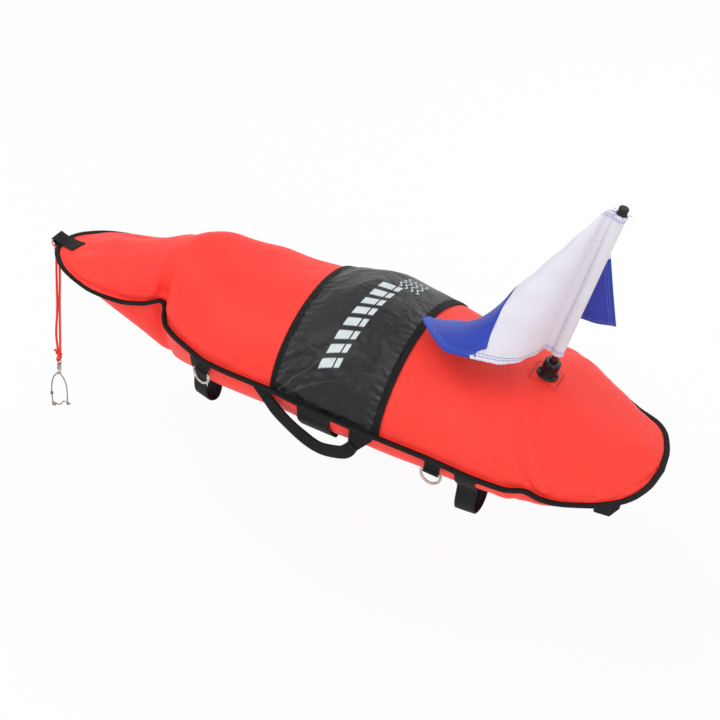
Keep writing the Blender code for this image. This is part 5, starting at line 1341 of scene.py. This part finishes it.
def make_nose():
    """25 mm webbing folded over the nose, with the small ring in its fold, sewn on a little askew."""
    columns, steps = 17, 30
    clear = TAPE_HALF + 0.0005
    across = np.linspace(-0.0125, 0.0125, columns)
    middle, turned = np.array((-0.499, 0.0)), 0.0
    spots = []
    for step, done in enumerate(evenly(steps)):
        turned = math.radians(22) * min(1, done / 0.35) ** 0.8
        if step:
            middle = middle + 0.0425 / (steps - 1) * np.array((math.cos(turned), -math.sin(turned)))
        spots.append((middle[0] + across * math.sin(turned), middle[1] + across * math.cos(turned)))
    halves = []
    for tree, half in ((TOP_TREE, 1), (LOW_TREE, -1)):
        rises = []
        for index, (xs, ys) in enumerate(spots):
            rise = np.array([max(skin_height(tree, x, y, half) * half, 0) for x, y in zip(xs, ys)])
            over = clear if xs.min() < -0.4905 or index < 6 else 0
            rises.append(np.maximum(0.15 * rise.max() + 0.85 * rise, np.maximum(rise, over)) + 0.0012)
        rises = np.array(rises)
        for turn in range(8):
            smooth = rises.copy()
            soften(smooth, 1, steps - 1)
            rises = np.maximum(smooth, rises)
        halves.append([np.stack([xs, ys, rise * half], -1) for (xs, ys), rise in zip(spots, rises)])
    fold = NOSE_RING_WIRE + CLEAR + 0.00075
    round_bar = [stack(a, across, b) for a, b in arc((NOSE_X, NOSE_BAR_Z), fold, 100, 260, 14)]
    places = np.array([*reversed(halves[0]), *round_bar, *halves[1]])
    soften(places, steps - 5, steps, 4)
    soften(places, steps + 15, steps + 20, 4)
    cloth_piece("nose_strap", places, STRAP, "float", ("nose_tab",), "black_webbing", cloth=0.0015,
                sharp=50, rounds=0.0003)
    make_ring("small_nose_ring", place_frame((NOSE_X, 0, NOSE_BAR_Z), SIDE, UP), 0.0146, 0.0015, 0.0015,
              NOSE_RING_WIRE, "ring_at_nose", "nose_ring")


def line_spot(line, t):
    """The point a share of the way along a line of points."""
    left = t * path_length(line)
    for a, b in zip(line, line[1:]):
        step = (b - a).length
        if left <= step or b is line[-1]:
            return a.lerp(b, min(left / step, 1))
        left -= step


def make_handle():
    """Folded webbing grip that hangs from the seam on two fanned ends."""
    front, rear = under_binding(-0.06), under_binding(0.105)
    along = (rear - front).normalized()
    out = along.cross(UP)
    origin = (front + rear) / 2 - Vector((0, 0, 0.0021))
    half = (rear - front).length / 2
    wide, thick, drop = 0.0105, 0.004, 0.058

    def spot(place, z):
        return origin + along * place.x + UP * place.y + out * z

    line = ((-0.88, 0.19), (-0.56, 0.55), (-0.15, 0.85), (0.25, 1), (0.63, 0.87), (0.79, 0.71), (0.9, 0.43))
    route = smooth_route([(a * half, -b * drop, 0) for a, b in line], 96)
    section = []
    for angle in (2 * math.pi * t for t in evenly(25)):
        c, s = math.cos(angle), math.sin(angle)
        section.append((wide * math.copysign(abs(c)**0.55, c), thick * math.copysign(abs(s)**0.8, s)))
    rings, lengths = [], []
    done = 0
    for index, place in enumerate(route):
        ahead = (route[min(index + 1, 95)] - route[max(index - 1, 0)]).normalized()
        side = Vector((-ahead.y, ahead.x, 0))
        if index:
            done += (place - route[index - 1]).length
        t = index / 95
        pinch = 1 - 0.16 * bell(t, 0.0, 0.08) - 0.16 * bell(t, 1.0, 0.08)
        swell = 1 + 0.16 * math.sin(t * 21) * math.sin(t * 5)
        rings.append([spot(place + side * a * pinch,
                           b * swell * (1 - 0.34 * bell(a, wide * 0.35, 0.0016) * (b > 0)))
                      for a, b in section])
        lengths.append([(done, wide + a) for a, b in section])
    shape = bmesh.new()
    bend_grid(shape, rings, np.array(lengths))
    close_ends(shape)
    bmesh.ops.recalc_face_normals(shape, faces=shape.faces)
    make_piece("grip_strap", shape, GRIP, "handle", ("handle_grip",), "black_webbing", sharp=50)

    def end_corners(index, step):
        ahead = (route[index + step] - route[index]).normalized()
        side = Vector((-ahead.y, ahead.x, 0)) * wide * 0.9
        place = route[index] + ahead * 0.002
        return place + side, place - side

    def fan(name, left, right, node):
        """A strap end between two edge lines from the seam down to the grip."""
        rows = []
        for t in evenly(22):
            a, b = line_spot(left, t), line_spot(right, t)
            puff = 0.0011 * math.sin(math.pi * t) * (1 - t)
            rows.append([spot(a.lerp(b, w), puff * math.sin(2 * math.pi * w)) for w in evenly(15)])
        cloth_piece(name, rows, GRIP, "handle", (node,), "black_webbing", cloth=0.0028, sharp=50,
                    rounds=0.0004)

    seat, spread = 0.0045, 0.018
    high, low = end_corners(0, 1)
    fan("grip_end_front", [Vector((-half - spread, seat, 0)), low],
        [Vector((-half + spread, seat, 0)), high], "handle_front_end")
    low, high = end_corners(-1, -1)
    left, right = half - spread, half + spread
    fan("grip_end_rear", [Vector((left, seat, 0)), Vector((left, -0.003, 0)), high],
        [Vector((right, seat, 0)), Vector((right, -0.006, 0)), low], "handle_rear_end")


STRAP_RISE = 0.0026
SHARE_TABLE = np.linspace(0.0008, 0.9992, 1500)
TABLE_X = (seam_at(SHARE_TABLE, -1) + inward(SHARE_TABLE, -1) * FLANGE)[:, 0]


def belly_places(xs, degrees):
    """Places just off the belly at distances along the hull and angles from the near seam."""
    shares = np.interp(xs, TABLE_X, SHARE_TABLE)
    angle = math.pi - np.radians(degrees)
    places = base_skin(shares, angle, np.zeros(len(angle)), -1)
    return places + outward_way(places) * STRAP_RISE


def make_loops():
    """Three webbing loops, sewn on under the near seam and again on the belly."""
    for word, middle, width, leave, land, depth, bulge, finish in (
            ("front", -0.1745, 0.026, 31, 60, 0.038, 0.006, STRAP),
            ("middle", 0.027, 0.054, 14, 42, 0.0085, 0.003, RIBBED),
            ("rear", 0.264, 0.03, 34, 64, 0.051, 0.008, STRAP)):
        xs = np.linspace(middle - width / 2, middle + width / 2, 13)
        first = belly_places(xs, np.linspace(1.5, leave, 14))
        last = belly_places(xs, np.linspace(land, land + 20, 14))
        near, far = first[:, -1], last[:, 0]
        loop = []
        for angle in (math.pi * step / 36 for step in range(1, 36)):
            share = (1 - math.copysign(abs(math.cos(angle))**0.8, math.cos(angle))) / 2
            place = near + (far - near) * share
            place[:, 1] -= bulge * math.sin(angle) * (1 - share)
            place[:, 2] -= depth * math.sin(angle)**0.8
            loop.append(place)
        places = np.concatenate([first, np.stack(loop, 1), last], axis=1).transpose(1, 0, 2)
        soften(places, 10, len(places) - 10, 3)
        cloth_piece(f"belly_strap_{word}", places, finish, "float", (f"belly_loop_{word}",),
                    "black_webbing", cloth=0.0016, sharp=60, rounds=0.0003)


def make_seam_patches():
    """Webbing sewn on under the binding, where the front ring's tab and the rear loop start."""
    for name, start, end, first, last in (("ring_base_front", -0.202, -0.149, 0.004, 0.0165),
                                          ("loop_base_rear", 0.231, 0.282, 0.0085, 0.0125)):
        xs = np.linspace(start, end, 21)
        depth = first + (last - first) * (xs - start) / (end - start)
        rows = []
        for down in np.linspace(0, 1, 9):
            row = []
            for x, deep in zip(xs, depth):
                z = -0.0012 - deep * down
                hit = LOW_TREE.ray_cast(Vector((x, -0.4, z)), SIDE)[0]
                y = hit.y if hit else -near_reach(x)
                row.append((x, min(y - 0.0012, -near_reach(x) + 0.0055 * (1 + down)), z))
            rows.append(row)
        cloth_piece(name, rows, STRAP, "float", (), "black_webbing", cloth=0.0014, sharp=50, rounds=0.0003)


def make_tail_tab():
    """A small folded tab that comes to a blunt point under the tail."""
    x = 0.4537
    along = seam_tangent(x)
    base = under_binding(x) + Vector((0, 0, 0.0022))
    wide, side, drop = 0.019, 0.0097, 0.0221
    point = wide * 0.34
    rows = []
    for t in evenly(17):
        row = []
        for a in (wide * (2 * w - 1) for w in evenly(25)):
            near = (a + wide) / (point + wide) if a < point else (wide - a) / (wide - point)
            deep = side + (drop - side) * near
            bulge = 0.0007 * math.sin(math.pi * t) * math.cos(math.pi * a / wide / 2)
            row.append(base + along * a - UP * deep * t + along.cross(UP) * bulge)
        rows.append(row)
    cloth_piece("folded_tail_tab", rows, STRAP, "float", ("tail_tab",), "black_webbing", cloth=0.003,
                sharp=50, rounds=0.0005)


make_side_rings()
make_nose()
make_handle()
make_loops()
make_seam_patches()
make_tail_tab()


# Swivel, clip and valve

EYE = 0.0043
EYE_WIRE = 0.0009
BARREL_HALF = 0.006
EYE_Z = LOW_LOOP_Z - KNOT_LOOP + CORD_RADIUS + EYE_WIRE + CLEAR - EYE
BARREL_TOP = EYE_Z - EYE - EYE_WIRE - CLEAR
LOW_EYE_Z = BARREL_TOP - 2 * BARREL_HALF - CLEAR - EYE_WIRE - EYE
CLIP_WIRE = 0.0011
BEAD_Z = sum(corner[2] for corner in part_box("clip_bead")) / 2


def make_swivel():
    """Two eyes on stems and the barrel that they turn in."""
    made = []
    stem = EYE + EYE_WIRE + 0.0015
    profile = [(0, EYE), (0.001, EYE), (0.001, stem), (0.0021, stem), (0.0019, stem + 0.0012),
               (0, stem + 0.0012)]
    for word, z, first, way, body, node in (
            ("above", EYE_Z, FORE, -1, "lanyard", "swivel_upper_eye"),
            ("below", LOW_EYE_Z, SIDE, 1, "clip", "swivel_lower_eye")):
        shape = bmesh.new()
        centre = Vector((NOSE_X, 0, z))
        add_tube(shape, circle(centre, first, UP, EYE), EYE_WIRE, closed=True)
        add_spun(shape, [(radius, way * height) for radius, height in profile],
                 Matrix.Translation(centre), steps=24)
        made.append(make_piece(f"swivel_eye_{word}", shape, SWIVEL, body, (node,), "nickel_plated_steel"))
    half, wall = BARREL_HALF, 0.0009
    corners = [(0.0013, half), (0.0028, half), (0.0038, half - 0.0014), (0.0038, 0.0016), (0.0034, 0.0009)]
    outer = eased([*corners, *((radius, -height) for radius, height in reversed(corners))], 0.0005)
    inner = [(0.0013, wall - half), (0.0029, wall - half), (0.0029, half - wall), (0.0013, half - wall)]
    made.append(spun_piece("swivel_body", [*outer, *inner],
                           Matrix.Translation((NOSE_X, 0, BARREL_TOP - half)), SWIVEL, "lanyard",
                           ("swivel_barrel",), "nickel_plated_steel", steps=40, closed=True))
    return made


def make_clip():
    """Bent wire bow with an eyelet and a catch, its latch and the bead crimped on it."""
    apex = LOW_EYE_Z - EYE + EYE_WIRE + CLIP_WIRE + CLEAR
    wide, tall, turn = 0.016, 0.074, 0.0035

    def spot(across, down, y=0.0):
        return Vector((NOSE_X + across, y, apex - down))

    def leg(start, shares, count):
        return smooth_route([start, *(spot(a * wide, d * tall) for a, d in shares)], count)

    top = [spot(a, turn - b) for a, b in arc((0, 0), turn, 180, 0, 16)]
    left = leg(top[0], ((-0.62, 0.15), (-0.88, 0.31), (-1, 0.54), (-0.97, 0.76), (-0.88, 0.93)), 32)
    right = leg(top[-1], ((0.62, 0.15), (0.88, 0.31), (1, 0.54), (1, 0.74), (1, 0.84)), 28)
    centre = spot(-0.72 * wide, tall)
    eyelet = [centre + Vector((a, 0.0004 * (k - 12) / 12, b))
              for k, (a, b) in enumerate(arc((0, 0), 0.0032, 150, 480, 26))]
    catch_down = 0.875 * tall
    catch = [spot(wide, catch_down - CLIP_WIRE * 4 / 3), spot(wide, catch_down - CLIP_WIRE / 3, 0.001),
             spot(wide, catch_down, 0.003), spot(wide, catch_down, 0.006)]
    tube_piece("clip_wire", [*reversed(eyelet), *reversed(left[1:]), *top, *right[1:], *catch],
               CLIP_WIRE, STAINLESS, "clip", ("clip_bow",), "stainless_wire", sharp=60)
    height = catch_down - CLIP_WIRE * 2 - CLEAR
    arm = smooth_route([centre + Vector((CLIP_WIRE, 0.003, 0)), spot(-0.2 * wide, tall, 0.003),
                        spot(0.15 * wide, 0.93 * tall, 0.003), spot(0.4 * wide, height, 0.003),
                        spot(wide, height, 0.003), spot(1.25 * wide, height, 0.003)], 34)
    pivot = [centre + SIDE * y for y in (-0.003, 0, 0.002)]
    tube_piece("clip_gate", [*pivot, *arm], CLIP_WIRE, STAINLESS, "latch", ("clip_latch",),
               "stainless_wire", sharp=60)
    middle = min(range(2, 30), key=lambda index: abs(left[index].z - BEAD_Z))
    along = (left[middle + 1] - left[middle - 1]).normalized()
    profile = eased([(0.0014, -0.0025), (0.0014, 0.0025), (0.0021, 0.0025), (0.0028, 0.0014),
                     (0.0028, -0.0014), (0.0021, -0.0025), (0.0015, -0.0025)], 0.0005)
    spun_piece("clip_crimp", profile, place_frame(left[middle], SIDE, along), SWIVEL, "clip",
               ("clip_bead",), "nickel_plated_steel", steps=32, closed=True)


def make_valve():
    """Screw-capped inflation valve on the belly, with its flap inside."""
    place = place_frame(VALVE_FOOT, FORE, -UP)
    shape = bmesh.new()
    outer = eased([(0.0042, -0.0036), (0.0042, 0.0095), (0.0082, 0.0095), (0.0082, 0.0024),
                   (0.0155, 0.0016), (0.017, 0.0006), (0.017, 0), (0.0105, -0.0001),
                   (0.0105, -0.0086), (0.0042, -0.0086)], 0.0006)
    inner = [(0.0042, -0.0071), (0.0078, -0.0071), (0.0078, -0.0015), (0.0042, -0.0015)]
    add_spun(shape, [*outer[1:], *inner], place, closed=True)
    for height in (0.0042, 0.0058, 0.0074):
        thread = circle(UP * height, FORE, SIDE, 0.0081, 48)
        add_tube(shape, [place @ spot for spot in thread], 0.00025, sides=6, closed=True)
    make_piece("valve_moulding", shape, PLASTIC, "float", ("valve_body",), "black_plastic", sharp=32)
    profile = eased([(0.0001, 0.0114), (0.0095, 0.0114), (0.0112, 0.0104), (0.0112, 0.0019),
                     (0.0085, 0.0019), (0.0085, 0.0098), (0.0001, 0.0098)], 0.0005)
    fluted_piece("valve_screw_cap", [(0, 0.0114), *profile, (0, 0.0098)], place, "cap", "valve_cap",
                 steps=144, count=24, depth=0.0005, slope=0.0008)
    profile = eased([(0.0066, -0.0018), (0.0068, -0.002), (0.0068, -0.003), (0.0066, -0.0032)], 0.0002)
    spun_piece("valve_disc", [(0, -0.0018), *profile, (0, -0.0032)], place, RUBBER, "flap",
               ("valve_flap",), "black_rubber", steps=40)


SWIVEL_PARTS = make_swivel()
make_clip()
make_valve()


# Floor, backdrop and lights

def make_stage():
    """White floor that keeps a soft shadow, and a white world seen by the camera and by gloss."""
    floor_glow, sky_light = 0.86, 0.82
    shape = bmesh.new()
    bmesh.ops.create_grid(shape, x_segments=1, y_segments=1, size=8,
                          matrix=Matrix.Translation((0, 0, FLOOR_Z)))
    mesh = bpy.data.meshes.new("studio_floor")
    shape.to_mesh(mesh)
    shape.free()
    floor = add_object("studio_floor", mesh)
    finish = Finish("studio_white", (0.9, 0.9, 0.9), 0.8)
    glow = finish.node("ShaderNodeEmission", inputs={"Color": (1, 1, 1, 1), "Strength": 1.0})
    mix = finish.node("ShaderNodeMixShader", inputs={
        0: finish.looked_at() * floor_glow, 1: finish.shader.outputs[0], 2: glow.outputs[0]})
    finish.join(finish.tree.nodes["Material Output"].inputs["Surface"], mix.outputs[0])
    mesh.materials.append(finish.material)
    floor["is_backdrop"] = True

    world = bpy.data.worlds.new("studio")
    bpy.context.scene.world = world
    world.use_nodes = True
    world.node_tree.nodes.clear()
    sky = Nodes(world.node_tree)
    soft, white = (sky.node("ShaderNodeBackground", inputs={"Color": colour, "Strength": level})
                   for colour, level in (((0.95, 0.97, 1, 1), sky_light), ((1, 1, 1, 1), 1)))
    mix = sky.node("ShaderNodeMixShader", inputs={
        0: sky.looked_at(), 1: soft.outputs[0], 2: white.outputs[0]})
    sky.node("ShaderNodeOutputWorld", inputs={"Surface": mix.outputs[0]})


LAMPS = (("key_panel", (-1.3, -1.1, 2.4), (0, 0, 0), 2.4, 28),
         ("side_panel", (1.9, -1.9, 1.3), (0.1, 0, 0), 1.8, 15),
         ("rim_panel", (0.4, 2.3, 1.6), (0, 0, 0), 1.6, 10))


def make_lamp(name, place, target, size, watts):
    data = bpy.data.lights.new(name, "AREA")
    data.size = size
    data.energy = watts
    light = add_object(name, data)
    light.location = place
    light.rotation_euler = (Vector(target) - Vector(place)).to_track_quat("-Z", "Y").to_euler()


make_stage()
for lamp in LAMPS:
    make_lamp(*lamp)

bpy.context.scene.view_settings.view_transform = "Standard"
visual_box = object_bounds()


def plain(box):
    return [[float(value) for value in corner] for corner in box]


{"cad": plain(cad_box), "visual": plain(visual_box)}
